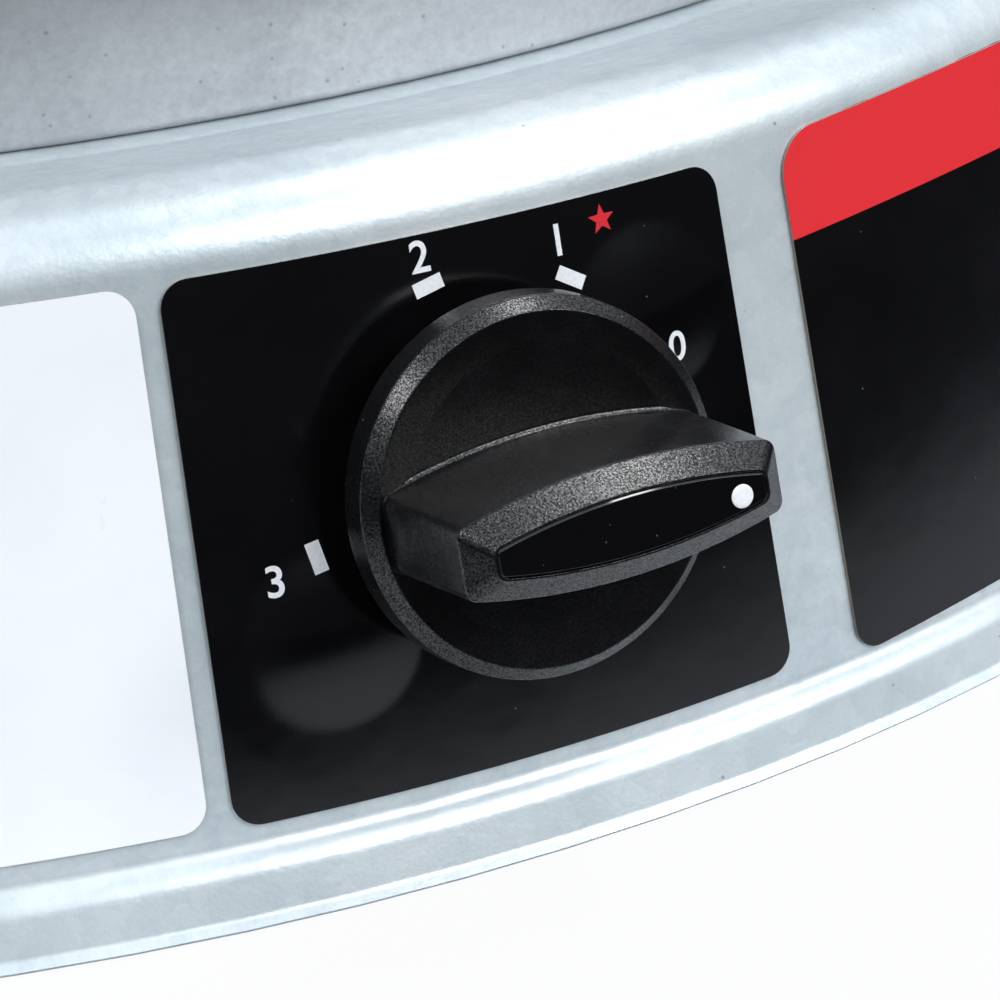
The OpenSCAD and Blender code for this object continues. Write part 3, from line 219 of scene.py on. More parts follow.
def turnedBrass():
    # free-cutting brass, turned and milled: warm, with ring marks from the tool and dull handling stains
    look = dict(bright="#d9b46a", stained="#9a7437", stain=6.0, ringsDepth=0.006)
    material, tree, shader, place = startMaterial("turnedBrass", 0.26, metallic=1.0)
    stain = addNoise(tree, place, look["stain"], 5.0, 0.65)
    colour = mixColours(tree, spread(tree, stain, 0.45, 0.75, 0, 0.8), look["bright"], look["stained"])
    link(tree, colour, shader, "Base Color")
    link(tree, spread(tree, stain, 0.3, 0.75, 0.2, 0.42), shader, "Roughness")
    rings = addNode(tree, "ShaderNodeTexWave", {"Vector": place, "Scale": 0.5, "Distortion": 0.6},
                    bands_direction="Y").outputs["Fac"]
    addBump(tree, shader, rings, look["ringsDepth"])
    return material


def castIron():
    # grey iron, sand cast and blued by heat: black, rough, with sand pits
    return cloudedFinish("castIron", 0.62, ("#38373a", "#574a42"),
                         dict(size=1.4, detail=6.0, rough=0.7, low=0.35, high=0.75),
                         dict(size=1.4, detail=6.0, rough=0.7, depth=0.25), metallic=0.6)


def drawnCopper():
    # drawn copper capillary: pink-orange with brown oxide clouds
    return cloudedFinish("drawnCopper", 0.3, ("#d98f6a", "#8a4d33"),
                         dict(size=7.0, detail=4.0, low=0.4, high=0.7),
                         dict(size=0.6, detail=3.0, depth=0.008), metallic=1.0)


def drawnAluminium():
    # drawn aluminium gas pipe: soft and pale, faintly clouded
    return cloudedFinish("drawnAluminium", 0.34, ("#d8dbdd", "#b3b8bc"),
                         dict(size=3.0, detail=4.0, low=0.3, high=0.7),
                         dict(size=0.4, detail=3.0, depth=0.006), metallic=1.0)


# plastics, paint and print

def mouldedPlastic(name, tone, worn, roughness, grain, depth, ior=1.54):
    # injection-moulded plastic from a spark-eroded tool: a fine even grain that sparkles where it faces a
    # light, paler where it is rubbed, with a little lint; the grain fades to a share where the surface lies
    # square to the knob's axis, as those faces are rubbed smoother
    look = dict(lint="#a4a6a8", specks=(3.4, 0.02, 0.035, 0.35), rub=7.0, fadeFrom=0.93, fadeTo=0.985,
                fadedShare=0.25, glintSize=0.6, glintLow=0.05, glintHigh=0.95, glintBase=0.12)
    material, tree, shader, place = startMaterial(name, roughness, ior=ior)
    rub = addNoise(tree, place, look["rub"], 5.0, 0.65)
    colour = mixColours(tree, spread(tree, rub, 0.45, 0.8, 0, 1), tone, worn)
    colour = mixColours(tree, addSpecks(tree, place, *look["specks"]), colour, look["lint"])
    link(tree, colour, shader, "Base Color")
    link(tree, spread(tree, rub, 0.3, 0.75, roughness - 0.03, roughness + 0.06), shader, "Roughness")
    normal = addNode(tree, "ShaderNodeTexCoord").outputs["Normal"]
    facing = addNode(tree, "ShaderNodeVectorMath", {0: normal, 1: (0, -math.cos(tilt), math.sin(tilt))},
                     operation="DOT_PRODUCT").outputs["Value"]
    share = spread(tree, facing, look["fadeFrom"], look["fadeTo"], 1.0, look["fadedShare"])
    pits = calculate(tree, "MULTIPLY", addNoise(tree, place, grain, 3.0, 0.65), share)
    addBump(tree, shader, pits, depth)
    # each pit's own glint, drawn as coarse as it needs to show
    glint = spread(tree, addNoise(tree, place, grain * look["glintSize"], 1.0), 0.38, 0.64, look["glintLow"],
                   look["glintHigh"])
    level = calculate(tree, "ADD", calculate(tree, "MULTIPLY", glint, share), look["glintBase"])
    link(tree, level, shader, "Specular IOR Level")
    return material


def polishedInlay():
    # polished black acrylic: a deep gloss with dust and faint wipe marks
    look = dict(black="#0b0b0d", dust="#6a6d72", specks=(1.6, 0.03, 0.07, 0.5), wipe=5.0)
    material, tree, shader, place = startMaterial("polishedInlay", 0.06, ior=1.49)
    link(tree, mixColours(tree, addSpecks(tree, place, *look["specks"]), look["black"], look["dust"]), shader,
         "Base Color")
    wipe = addNoise(tree, place, look["wipe"], 4.0)
    link(tree, spread(tree, wipe, 0.3, 0.7, 0.04, 0.12), shader, "Roughness")
    return material


def printedFilm(name, ground, worn, roughness, headColour=None):
    # screen-printed polyester film: even ink under a clear gloss, faintly rippled by the glue; its cut edge
    # shows the cream core, where the distance out of the sloping metal is below the printed face; a head of
    # another colour starts at a straight line square to the label's middle, which is at a bearing in degrees
    film = dict(core="#8d8270", coreBelow=0.06, dust="#8f949a", specks=(4.0, 0.015, 0.03, 0.35), patch=16.0,
                ripple=9.0, rippleDepth=0.05, mesh=0.5, meshDepth=0.002, headMiddle=24.65, headUp=45.4)
    material, tree, shader, place = startMaterial(name, roughness, ior=1.5)
    patch = addNoise(tree, place, film["patch"], 4.0)
    colour = mixColours(tree, spread(tree, patch, 0.4, 0.75, 0, 1), ground, worn)
    if headColour:
        middle = math.radians(film["headMiddle"])
        rise = (-math.sin(middle) * math.sin(tilt), math.cos(middle) * math.sin(tilt), math.cos(tilt))
        line = film["headUp"] - slope["radius"] * math.sin(tilt) + slope["foot"] * math.cos(tilt)
        level = addNode(tree, "ShaderNodeVectorMath", {0: place, 1: rise}, operation="DOT_PRODUCT")
        above = calculate(tree, "GREATER_THAN", level.outputs["Value"], line)
        colour = mixColours(tree, above, colour, headColour)
    colour = mixColours(tree, addSpecks(tree, place, *film["specks"]), colour, film["dust"])
    parts = addNode(tree, "ShaderNodeSeparateXYZ", {"Vector": place}).outputs
    flat = addNode(tree, "ShaderNodeCombineXYZ", {0: parts["X"], 1: parts["Y"]}).outputs[0]
    reach = addNode(tree, "ShaderNodeVectorMath", {0: flat}, operation="LENGTH").outputs["Value"]
    across = calculate(tree, "MULTIPLY", reach, math.cos(tilt))
    out = calculate(tree, "MULTIPLY_ADD", parts["Z"], math.sin(tilt), across)
    metal = slope["radius"] * math.cos(tilt) + slope["foot"] * math.sin(tilt)
    edge = calculate(tree, "LESS_THAN", out, metal + slope["labelFace"] - film["coreBelow"])
    link(tree, mixColours(tree, edge, colour, film["core"]), shader, "Base Color")
    link(tree, spread(tree, patch, 0.3, 0.75, roughness - 0.03, roughness + 0.06), shader, "Roughness")
    under = addBump(tree, shader, addNoise(tree, place, film["ripple"], 2.0), film["rippleDepth"])
    addBump(tree, shader, addNoise(tree, place, film["mesh"], 2.0), film["meshDepth"], under)
    return material


def screenInk(name, tone):
    # opaque screen ink on the film: flat, with a soft sheen and a trace of mesh
    look = dict(mesh=0.4, deeper=0.88)
    material, tree, shader, place = startMaterial(name, 0.35, ior=1.5)
    mesh = addNoise(tree, place, look["mesh"], 2.0)
    deeper = tuple(look["deeper"] * channel for channel in hexColour(tone)[:3]) + (1.0,)
    link(tree, mixColours(tree, spread(tree, mesh, 0.35, 0.7, 0, 1), tone, deeper), shader, "Base Color")
    return material


def satinPaint():
    # satin black enamel on wire: slight orange peel and a few chips to grey primer
    return cloudedFinish("satinPaint", 0.38, ("#1c1d1f", "#77797a"),
                         dict(size=3.0, detail=6.0, rough=0.75, low=0.72, high=0.75),
                         dict(size=1.2, detail=2.0, depth=0.02), ior=1.5)


def softRubber(name, tone, dusty):
    # moulded rubber: matt, dusty in the hollows
    return cloudedFinish(name, 0.7, (tone, dusty), dict(size=4.0, detail=5.0, rough=0.7, low=0.45, high=0.8),
                         dict(size=0.5, detail=3.0, depth=0.02), ior=1.52)


def firedCeramic():
    # unglazed alumina: chalky white with kiln specks
    return cloudedFinish("firedCeramic", 0.6, ("#efeadd", "#a39b8a"),
                         dict(size=1.0, detail=5.0, rough=0.7, low=0.6, high=0.8),
                         dict(size=1.0, detail=5.0, rough=0.7, depth=0.02), ior=1.76)


print("materials")
finishes = {
    "galvanised_steel": galvanisedSheet(),
    "jacket_steel": aluminisedSheet(),
    "hot_steel": heatedSteel(),
    "bracket_steel": zincPlate("pressedZincPlate", "#b9c0c4", "#8f989e", roughness=0.42),
    "zinc_plated_steel": zincPlate(),
    "spring_steel": zincPlate("drawnSpringSteel", "#aab0b4", "#7d858a", roughness=0.28),
    "brass": turnedBrass(),
    "cast_iron": castIron(),
    "copper": drawnCopper(),
    "gas_pipe": drawnAluminium(),
    "knob_plastic": mouldedPlastic("grainedAbs", "#09090a", "#0d0d0f", roughness=0.25, grain=0.3, depth=0.03,
                                   ior=1.5),
    "grip_plastic": mouldedPlastic("grainedGripAbs", "#18191b", "#242528", roughness=0.42, grain=0.5,
                                   depth=0.04),
    "igniter_plastic": mouldedPlastic("ivoryNylon", "#d9d4c4", "#c2bba8", roughness=0.45, grain=0.6,
                                      depth=0.015, ior=1.53),
    "inlay_plastic": polishedInlay(),
    "pointer_plastic": screenInk("pointerPaint", "#f4f6f8"),
    "black_label": printedFilm("blackFilm", "#060607", "#09090b", roughness=0.12),
    "notice_label": printedFilm("noticeFilm", "#0b0b0d", "#0f0f12", roughness=0.14, headColour="#e0343a"),
    "white_label": printedFilm("whiteFilm", "#f6f8fb", "#eff2f6", roughness=0.3),
    "wire_painted": satinPaint(),
    "bush_rubber": softRubber("nitrileRubber", "#232325", "#4a4946"),
    "lead_sleeve": softRubber("siliconeSleeve", "#dddcd4", "#b8b5aa"),
    "ceramic": firedCeramic(),
}

slotOf = {entry["node"]: entry["material_slot"] for entry in frame["record"]["subparts"]}
for name, node in frame["nodes"].items():
    if not node.material_slots:
        node.data.materials.append(None)
    for place in node.material_slots:
        place.material = finishes[slotOf[name]]


def smoothSheet(node):
    # a copy of a pressed sheet with its triangles welded, so that its bends catch the light as one curve
    sheet = dict(weld=0.002, sharpFrom=30)
    work = bmesh.new()
    work.from_mesh(frame["nodes"][node].data)
    work.transform(frame["nodes"][node].matrix_world)
    bmesh.ops.remove_doubles(work, verts=work.verts, dist=sheet["weld"] * mm)
    mesh = bpy.data.meshes.new(node + "Sheet")
    work.to_mesh(mesh)
    work.free()
    if "custom_normal" in mesh.attributes:
        mesh.attributes.remove(mesh.attributes["custom_normal"])
    mesh.materials.clear()
    mesh.materials.append(finishes[slotOf[node]])
    mesh.shade_smooth()
    mesh.set_sharp_from_angle(angle=math.radians(sheet["sharpFrom"]))
    piece = bpy.data.objects.new(node + "Sheet", mesh)
    bpy.context.scene.collection.objects.link(piece)
    weighted = piece.modifiers.new("weightedNormals", "WEIGHTED_NORMAL")
    weighted.keep_sharp = True
    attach(piece, "heater")
    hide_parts(node)


for name in ("base_pan", "outer_jacket", "top_cap", "combustion_chamber", "heat_shield", "flame_spreader"):
    smoothSheet(name)
print("sheets")


# surfaces: every piece is built from numpy points in millimetres and handed over in metres

def onSlope(x, up, out):
    # a flat drawing wrapped on the cone: x mm becomes an arc of the cone's radius at the knob's height, up
    # runs along the slope from the knob's axis, out stands off the metal
    along = slope["knobUp"] + up
    turn = x / (slope["radius"] - slope["knobUp"] * math.sin(tilt))
    reach = slope["radius"] - along * math.sin(tilt) + out * math.cos(tilt)
    height = slope["foot"] + along * math.cos(tilt) + out * math.sin(tilt)
    return np.stack([reach * np.sin(turn), -reach * np.cos(turn), height + 0 * turn], axis=-1) * mm


def onKnob(points):
    # a drawing square to the knob's axis: x to the right, y up the slope, z out of it
    x, up, out = points[..., 0], points[..., 1], points[..., 2]
    radius = slope["radius"] - slope["knobUp"] * math.sin(tilt)
    height = slope["foot"] + slope["knobUp"] * math.cos(tilt)
    return np.stack([x, up * math.sin(tilt) - out * math.cos(tilt) - radius,
                     up * math.cos(tilt) + out * math.sin(tilt) + height], axis=-1) * mm


def turned(points, degrees):
    # x and y turned about the third axis
    c, s = math.cos(math.radians(degrees)), math.sin(math.radians(degrees))
    x, y = points[..., 0].copy(), points[..., 1].copy()
    points = points.copy()
    points[..., 0], points[..., 1] = x * c - y * s, x * s + y * c
    return points


def filleted(corners, steps=6, close=False):
    # an outline of (a, b, radius) corners, each swept round by an arc of its radius, with one more point a
    # share of the radius away on either side of the arc, so that the flats beside it stay flat to the light
    guard = 0.2
    points = []
    for i, (a, b, radius) in enumerate(corners):
        corner = np.array([a, b], float)
        if radius == 0 or (not close and i in (0, len(corners) - 1)):
            points.append(corner)
            continue
        back = np.array(corners[i - 1][:2], float) - corner
        ahead = np.array(corners[(i + 1) % len(corners)][:2], float) - corner
        back, ahead = back / np.linalg.norm(back), ahead / np.linalg.norm(ahead)
        half = math.acos(np.clip(back @ ahead, -1, 1)) / 2
        reach = radius / math.tan(half)
        middle = corner + (back + ahead) / np.linalg.norm(back + ahead) * radius / math.sin(half)
        first, last = corner + back * reach - middle, corner + ahead * reach - middle
        start, end = math.atan2(first[1], first[0]), math.atan2(last[1], last[0])
        sweep = (end - start + math.pi) % (2 * math.pi) - math.pi
        points.append(corner + back * (reach + guard * radius))
        points += [middle + radius * np.array([math.cos(start + sweep * t), math.sin(start + sweep * t)])
                   for t in np.linspace(0, 1, steps)]
        points.append(corner + ahead * (reach + guard * radius))
    return np.array(points)


def wrapFaces(stations, turns):
    # quads over a (stations, turns) net that closes on itself both ways
    i, j = np.meshgrid(np.arange(stations), np.arange(turns), indexing="ij")
    k, l = (i + 1) % stations, (j + 1) % turns
    quads = np.stack([i * turns + j, k * turns + j, k * turns + l, i * turns + l], axis=-1)
    return quads.reshape(-1, 4).tolist()


def stackFaces(levels, count):
    # quads between loops laid one on the other, and a flat cap on the first and on the last
    i, j = np.meshgrid(np.arange(levels - 1), np.arange(count), indexing="ij")
    l = (j + 1) % count
    walls = np.stack([i * count + j, i * count + l, (i + 1) * count + l, (i + 1) * count + j], axis=-1)
    last = (levels - 1) * count
    return walls.reshape(-1, 4).tolist() + [list(range(count))[::-1], list(range(last, last + count))]


def closedRevolve(axial, radius):
    # a closed outline carried round an axis: radius is a (stations, turns) array, axial one value a station;
    # the points have the axis third
    bearing = np.linspace(0, 2 * math.pi, radius.shape[1], endpoint=False)[None, :]
    return np.stack([radius * np.cos(bearing), radius * np.sin(bearing), axial + 0 * radius], axis=-1)


def joined(parts):
    # several (points, faces) surfaces as one
    points, faces, start = [], [], 0
    for partPoints, partFaces in parts:
        partPoints = partPoints.reshape(-1, 3)
        points.append(partPoints)
        faces += [[i + start for i in face] for face in partFaces]
        start += len(partPoints)
    return np.concatenate(points), faces


def makePiece(name, points, faces, body, slot, sharpFrom=40, finish=None):
    # a mesh piece that rides on a body: outward faces, smooth up to an angle; its finish is its slot's own
    # unless another one is given
    mesh = bpy.data.meshes.new(name)
    mesh.from_pydata(points.reshape(-1, 3).tolist(), [], faces)
    work = bmesh.new()
    work.from_mesh(mesh)
    bmesh.ops.recalc_face_normals(work, faces=work.faces)
    work.to_mesh(mesh)
    work.free()
    mesh.materials.append(finish or finishes[slot])
    mesh.shade_smooth()
    mesh.set_sharp_from_angle(angle=math.radians(sharpFrom))
    piece = bpy.data.objects.new(name, mesh)
    bpy.context.scene.collection.objects.link(piece)
    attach(piece, body)
    return piece


# the black label over its two screw heads, and what is printed on it

bump = dict(x=18.4, up=11.6, radius=8.6, height=0.68, foot=1.2)


def labelRise(x, up):
    # how far the film stands up: at each screw a pillow, h * (1 - (distance / radius) ** 2) ** foot
    rise = 0 * x
    for side in (-1, 1):
        far = np.hypot(x - side * bump["x"], up - side * bump["up"]) / bump["radius"]
        rise = rise + bump["height"] * np.clip(1 - far ** 2, 0, 1) ** bump["foot"]
    return rise


def labelRim(film):
    # a rectangle with round corners as evenly spaced points
    left, right, low, high = (film[side] for side in ("left", "right", "low", "high"))
    outline = filleted([(right, low, film["lowCorner"]), (right, high, film["highCorner"]),
                        (left, high, film["highCorner"]), (left, low, film["lowCorner"])],
                       steps=9, close=True)
    rim = []
    for a, b in zip(outline, np.roll(outline, -1, axis=0)):
        pieces = max(1, math.ceil(np.linalg.norm(b - a) / film["step"]))
        rim += [a + (b - a) * k / pieces for k in range(pieces)]
    return np.array(rim)


def controlLabel():
    # rings between the hub's hole and the label's rounded outline, out over the front and back underneath
    film = dict(left=-30.0, right=27.8, low=-27.8, high=23.7, lowCorner=2.7, highCorner=2.7, hole=7.8,
                under=0.1, rings=46, step=0.8)
    rim = labelRim(film)
    hole = film["hole"] * rim / np.linalg.norm(rim, axis=1)[:, None]
    rings = film["rings"]
    share = np.concatenate([np.linspace(0, 1, rings), np.linspace(1, 0, rings)])[:, None, None]
    flat = hole + (rim - hole) * share
    x, up = flat[..., 0], flat[..., 1]
    off = np.repeat([slope["labelFace"], film["under"]], rings)[:, None]
    points = onSlope(x, up, off + labelRise(x, up))
    piece = makePiece("controlFilm", points, wrapFaces(*x.shape), "heater", "black_label")
    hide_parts("control_label")


def noticeLabel():
    # a long label cut straight above and below: over the round slope its height falls away from the middle
    # by half * half / (2 * reach), reach being the slope's distance to the tip of its cone
    film = dict(left=36.0, right=148.0, low=-29.2, high=24.1, lowCorner=2.7, highCorner=4.5, under=0.1,
                rings=40, step=1.2)
    middle, half = (film["left"] + film["right"]) / 2, (film["right"] - film["left"]) / 2
    reach = slope["radius"] / math.sin(tilt) - slope["knobUp"]
    rim = labelRim(film)
    centre = np.array([middle, (film["low"] + film["high"]) / 2])
    share = np.linspace(1, 0, film["rings"])[1:-1, None, None]
    flat = np.concatenate([rim[None], centre + (rim - centre) * share])
    x, up = flat[..., 0], flat[..., 1]
    up = up + (half ** 2 - (x - middle) ** 2) / (2 * reach)
    top = onSlope(x, up, slope["labelFace"] + 0 * x)
    bottom = onSlope(x[:1], up[:1], film["under"] + 0 * x[:1])
    loops = np.concatenate([bottom, top])
    piece = makePiece("noticeFilm", loops, stackFaces(*loops.shape[:2]), "heater", "notice_label")
    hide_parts("notice_label")


def inkSlab(name, flat, faces, slot, ink):
    # a flat outline given the ink's own thickness: one face on the film, one just above it, walls between
    slab = dict(lift=0.01, thick=0.05)
    low = slope["labelFace"] + slab["lift"] + labelRise(flat[:, 0], flat[:, 1])
    bottom = onSlope(flat[:, 0], flat[:, 1], low)
    top = onSlope(flat[:, 0], flat[:, 1], low + slab["thick"])
    count = len(flat)
    edges = {(a, b) for face in faces for a, b in zip(face, face[1:] + face[:1])}
    rims = [(a, b) for a, b in edges if (b, a) not in edges]
    solid = [[i + count for i in face] for face in faces]
    solid += [list(reversed(face)) for face in faces]
    solid += [[a, b, b + count, a + count] for a, b in rims]
    makePiece(name, np.concatenate([bottom, top]), solid, "heater", slot, finish=ink)


whiteInk = screenInk("whiteInk", "#f1f3f6")
redInk = screenInk("redInk", "#de2a35")
dial = dict(tickRing=19.4, tickLong=3.0, tickWide=1.4, digitHigh=3.0, digitSwell=0.12, starAt=(14.36, 21.17),
            starOut=1.45, starIn=0.62, ticks={"high": 191.1, "middle": 103.3, "low": 58.5},
            digits={"3": (-23.2, -5.2), "2": (-4.9, 21.7), "1": (9.4, 20.3), "0": (20.2, 7.5)})


def tick(name, bearing):
    # a small rectangle, long side square to the radius
    half = np.array([[-1, -1], [1, -1], [1, 1], [-1, 1]]) * [dial["tickLong"] / 2, dial["tickWide"] / 2]
    turn, angle = math.radians(bearing - 90), math.radians(bearing)
    spin = np.array([[math.cos(turn), math.sin(turn)], [-math.sin(turn), math.cos(turn)]])
    centre = dial["tickRing"] * np.array([math.cos(angle), math.sin(angle)])
    inkSlab(name, half @ spin + centre, [[0, 1, 2, 3]], "white_label", whiteInk)


def digit(name, text, centre):
    # a plain figure from the built-in face, made a mesh and scaled to its real height
    curve = bpy.data.curves.new(name + "Curve", "FONT")
    curve.body = text
    curve.size = 10
    curve.offset = dial["digitSwell"]
    curve.resolution_u = 6
    holder = bpy.data.objects.new(name + "Holder", curve)
    bpy.context.scene.collection.objects.link(holder)
    bpy.context.view_layer.update()
    mesh = bpy.data.meshes.new_from_object(holder)
    flat = np.empty(len(mesh.vertices) * 3)
    mesh.vertices.foreach_get("co", flat)
    flat = flat.reshape(-1, 3)[:, :2]
    faces = [list(face.vertices) for face in mesh.polygons]
    if mesh.polygons[0].normal.z < 0:
        faces = [face[::-1] for face in faces]
    bpy.data.objects.remove(holder)
    bpy.data.meshes.remove(mesh)
    bpy.data.curves.remove(curve)
    flat = (flat - (flat.min(0) + flat.max(0)) / 2) * dial["digitHigh"] / np.ptp(flat[:, 1])
    inkSlab(name, flat + centre, faces, "white_label", whiteInk)


def star():
    # five points: the radius swings between two values from corner to corner
    corners = 10
    bearings = np.radians(90 + 360 / corners * np.arange(corners))
    radii = np.where(np.arange(corners) % 2 == 0, dial["starOut"], dial["starIn"])
    rim = np.stack([radii * np.cos(bearings), radii * np.sin(bearings)], axis=1)
    flat = np.concatenate([[[0, 0]], rim]) + dial["starAt"]
    faces = [[0, i + 1, (i + 1) % corners + 1] for i in range(corners)]
    inkSlab("dialStar", flat, faces, "notice_label", redInk)


for name, bearing in dial["ticks"].items():
    tick("dialTick_" + name, bearing)
for text, centre in dial["digits"].items():
    digit("dialFigure_" + text, text, centre)
star()
controlLabel()
noticeLabel()
print("labels")


# the knob: skirt, grip, gloss panel and white dot, drawn from the slope outwards, and the spring behind it

grip = dict(long=31.8, wide=11.1, end=6.9, foot=10.2, edge=25.7, top=27.9, draft=0.4, bevel=2.6, recess=2.8,
            recessDeep=0.6, flare=0.6, buried=9.4, soft=1.1, rest=1.5)
lensSteps = dict(corner=9, arc=59, end=7)


def lensLoop(inset, soft):
    # the grip's outline drawn in by inset: two arcs and two straight ends, its corners swept by soft;
    # each point is a point of a smaller lens plus soft times the outward direction there
    crown = (grip["wide"] - grip["end"]) / 2
    arcRadius = ((grip["long"] / 2) ** 2 + crown ** 2) / (2 * crown)
    reach = arcRadius - inset - soft
    half = grip["long"] / 2 - inset - soft
    swing = math.asin(half / reach)
    rise = reach * math.cos(swing) - arcRadius + grip["wide"] / 2
    sweep = (swing - math.pi / 2) * np.linspace(0, 1, lensSteps["corner"])
    arc = np.linspace(swing, -swing, lensSteps["arc"] + 2)[1:-1]
    end = np.linspace(1, -1, lensSteps["end"] + 2)[1:-1]
    atCorner, atEnd = np.ones(lensSteps["corner"]), np.ones(lensSteps["end"])
    lean = np.concatenate([math.pi / 2 + sweep, arc, sweep - swing, -math.pi / 2 * atEnd])
    x = np.concatenate([half * atCorner, reach * np.sin(arc), -half * atCorner, -half * atEnd])
    y = np.concatenate([rise * atCorner, reach * (np.cos(arc) - math.cos(swing)) + rise, rise * atCorner,
                        rise * end])
    side = np.stack([x + soft * np.sin(lean), y + soft * np.cos(lean)], axis=1)
    return np.concatenate([side, -side])


def lensStack(profile, soft):
    # one outline for each (inset, height) of the profile, turned to where the grip rests
    loops = [np.insert(lensLoop(inset, soft), 2, height, axis=1) for inset, height in profile]
    return turned(np.array(loops), grip["rest"])


def controlKnob():
    # the skirt with its hub is one hollow outline of (height, radius, fillet) carried round; the grip is a
    # lens of (inset, height, fillet) drawn out from inside the skirt's face, with a hollow at its foot, soft
    # edges at the bevel and a recess for the panel
    shell = dict(hubBack=4.6, bore=3.05, hub=6, webBack=7.5, rimBack=8.2, inner=16, foot=5.6, outer=18,
                 skirtTop=9.2, skirtTopRadius=17.8, faceEdge=10.5, faceRadius=16.5, face=10.2, dish=13.5,
                 turns=192)
    outline = filleted([
        (shell["hubBack"], shell["bore"], 0), (shell["hubBack"], shell["hub"], 0.3),
        (shell["webBack"], shell["hub"], 0.5), (shell["rimBack"], shell["inner"], 0.8),
        (shell["foot"], shell["inner"], 0.25), (shell["foot"], shell["outer"], 0.45),
        (shell["skirtTop"], shell["skirtTopRadius"], 0.4), (shell["faceEdge"], shell["faceRadius"], 0.3),
        (shell["face"], shell["dish"], 3), (shell["face"], shell["bore"], 0)])
    skirt = closedRevolve(outline[:, :1], np.repeat(outline[:, 1:], shell["turns"], axis=1))
    profile = filleted([
        (-grip["flare"], grip["buried"], 0), (-grip["flare"], grip["foot"], 0), (0, grip["foot"], 0.5),
        (grip["draft"], grip["edge"], 0.4), (grip["bevel"], grip["top"], 0.2),
        (grip["recess"], grip["top"], 0.07), (grip["recess"], grip["top"] - grip["recessDeep"], 0)])
    loops = lensStack(profile, grip["soft"])
    walls = wrapFaces(len(outline), shell["turns"])
    points, faces = joined([(skirt, walls), (loops, stackFaces(*loops.shape[:2]))])
    piece = makePiece("knobShell", onKnob(points), faces, "knob", "knob_plastic", sharpFrom=50)
    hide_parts("knob")


def knobPanel():
    # the gloss panel: a thin lens laid in the recess, its chamfered rim a little proud of the grip
    panel = dict(under=0.02, side=0.05, proud=0.08, chamfer=0.2, flatFrom=0.6, soft=0.35)
    low, high = grip["top"] - grip["recessDeep"] + panel["under"], grip["top"] + panel["proud"]
    inset, chamfer = grip["recess"] + panel["side"], panel["chamfer"]
    profile = filleted([(inset, low, 0), (inset, high - chamfer, 0.03), (inset + chamfer, high, 0.06),
                        (inset + panel["flatFrom"], high, 0)])
    loops = lensStack(profile, panel["soft"])
    piece = makePiece("knobPanel", onKnob(loops), stackFaces(*loops.shape[:2]), "knob", "inlay_plastic",
                      sharpFrom=60)
    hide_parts("knob_inlay")


def knobDot():
    # a drop of white paint: the height falls as a quarter of an ellipse towards the rim
    dot = dict(x=10.5, y=-0.3, radius=1.07, low=27.4, high=28.13, shoulder=27.99, bulge=0.6, steps=8,
               turns=48)
    fall = np.arange(dot["steps"]) / dot["steps"] * math.pi / 2
    radii = np.concatenate([[dot["radius"]], dot["radius"] * np.cos(fall) ** dot["bulge"]])
    heights = np.concatenate([[dot["low"]], dot["shoulder"] + (dot["high"] - dot["shoulder"]) * np.sin(fall)])
    bearing = np.linspace(0, 2 * math.pi, dot["turns"], endpoint=False)
    x, y = dot["x"] + radii[:, None] * np.cos(bearing), dot["y"] + radii[:, None] * np.sin(bearing)
    loops = turned(np.stack([x, y, heights[:, None] + 0 * bearing], axis=-1), grip["rest"])
    piece = makePiece("knobDot", onKnob(loops), stackFaces(*loops.shape[:2]), "knob", "pointer_plastic",
                      sharpFrom=70)
    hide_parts("knob_pointer")


def returnSpring():
    # a coil of round wire behind the knob: the coil's circle plus the wire's own circle, climbing evenly
    coil = dict(radius=4.6, wire=0.45, turns=6, back=-20.3, front=-9.15, perTurn=36, sides=12, push=3.5)
    angle = np.linspace(0, 2 * math.pi * coil["turns"], coil["turns"] * coil["perTurn"] + 1)[:, None]
    bearing = np.linspace(0, 2 * math.pi, coil["sides"], endpoint=False)[None, :]
    reach = coil["radius"] + coil["wire"] * np.cos(bearing)
    climb = coil["back"] + (coil["front"] - coil["back"]) * angle / angle[-1] + coil["wire"] * np.sin(bearing)
    loops = np.stack([reach * np.cos(angle), reach * np.sin(angle), climb], axis=-1)
    piece = makePiece("returnSpring", onKnob(loops), stackFaces(*loops.shape[:2]), "heater", "spring_steel")
    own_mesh(piece)
    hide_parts("knob_spring")


controlKnob()
knobPanel()
knobDot()
returnSpring()
print("knob")


# the gas inlet with its thread

def smoothStep(value, low, high):
    # 0 below low, 1 above high, and a soft climb between
    t = np.clip((value - low) / (high - low), 0, 1)
    return t * t * (3 - 2 * t)


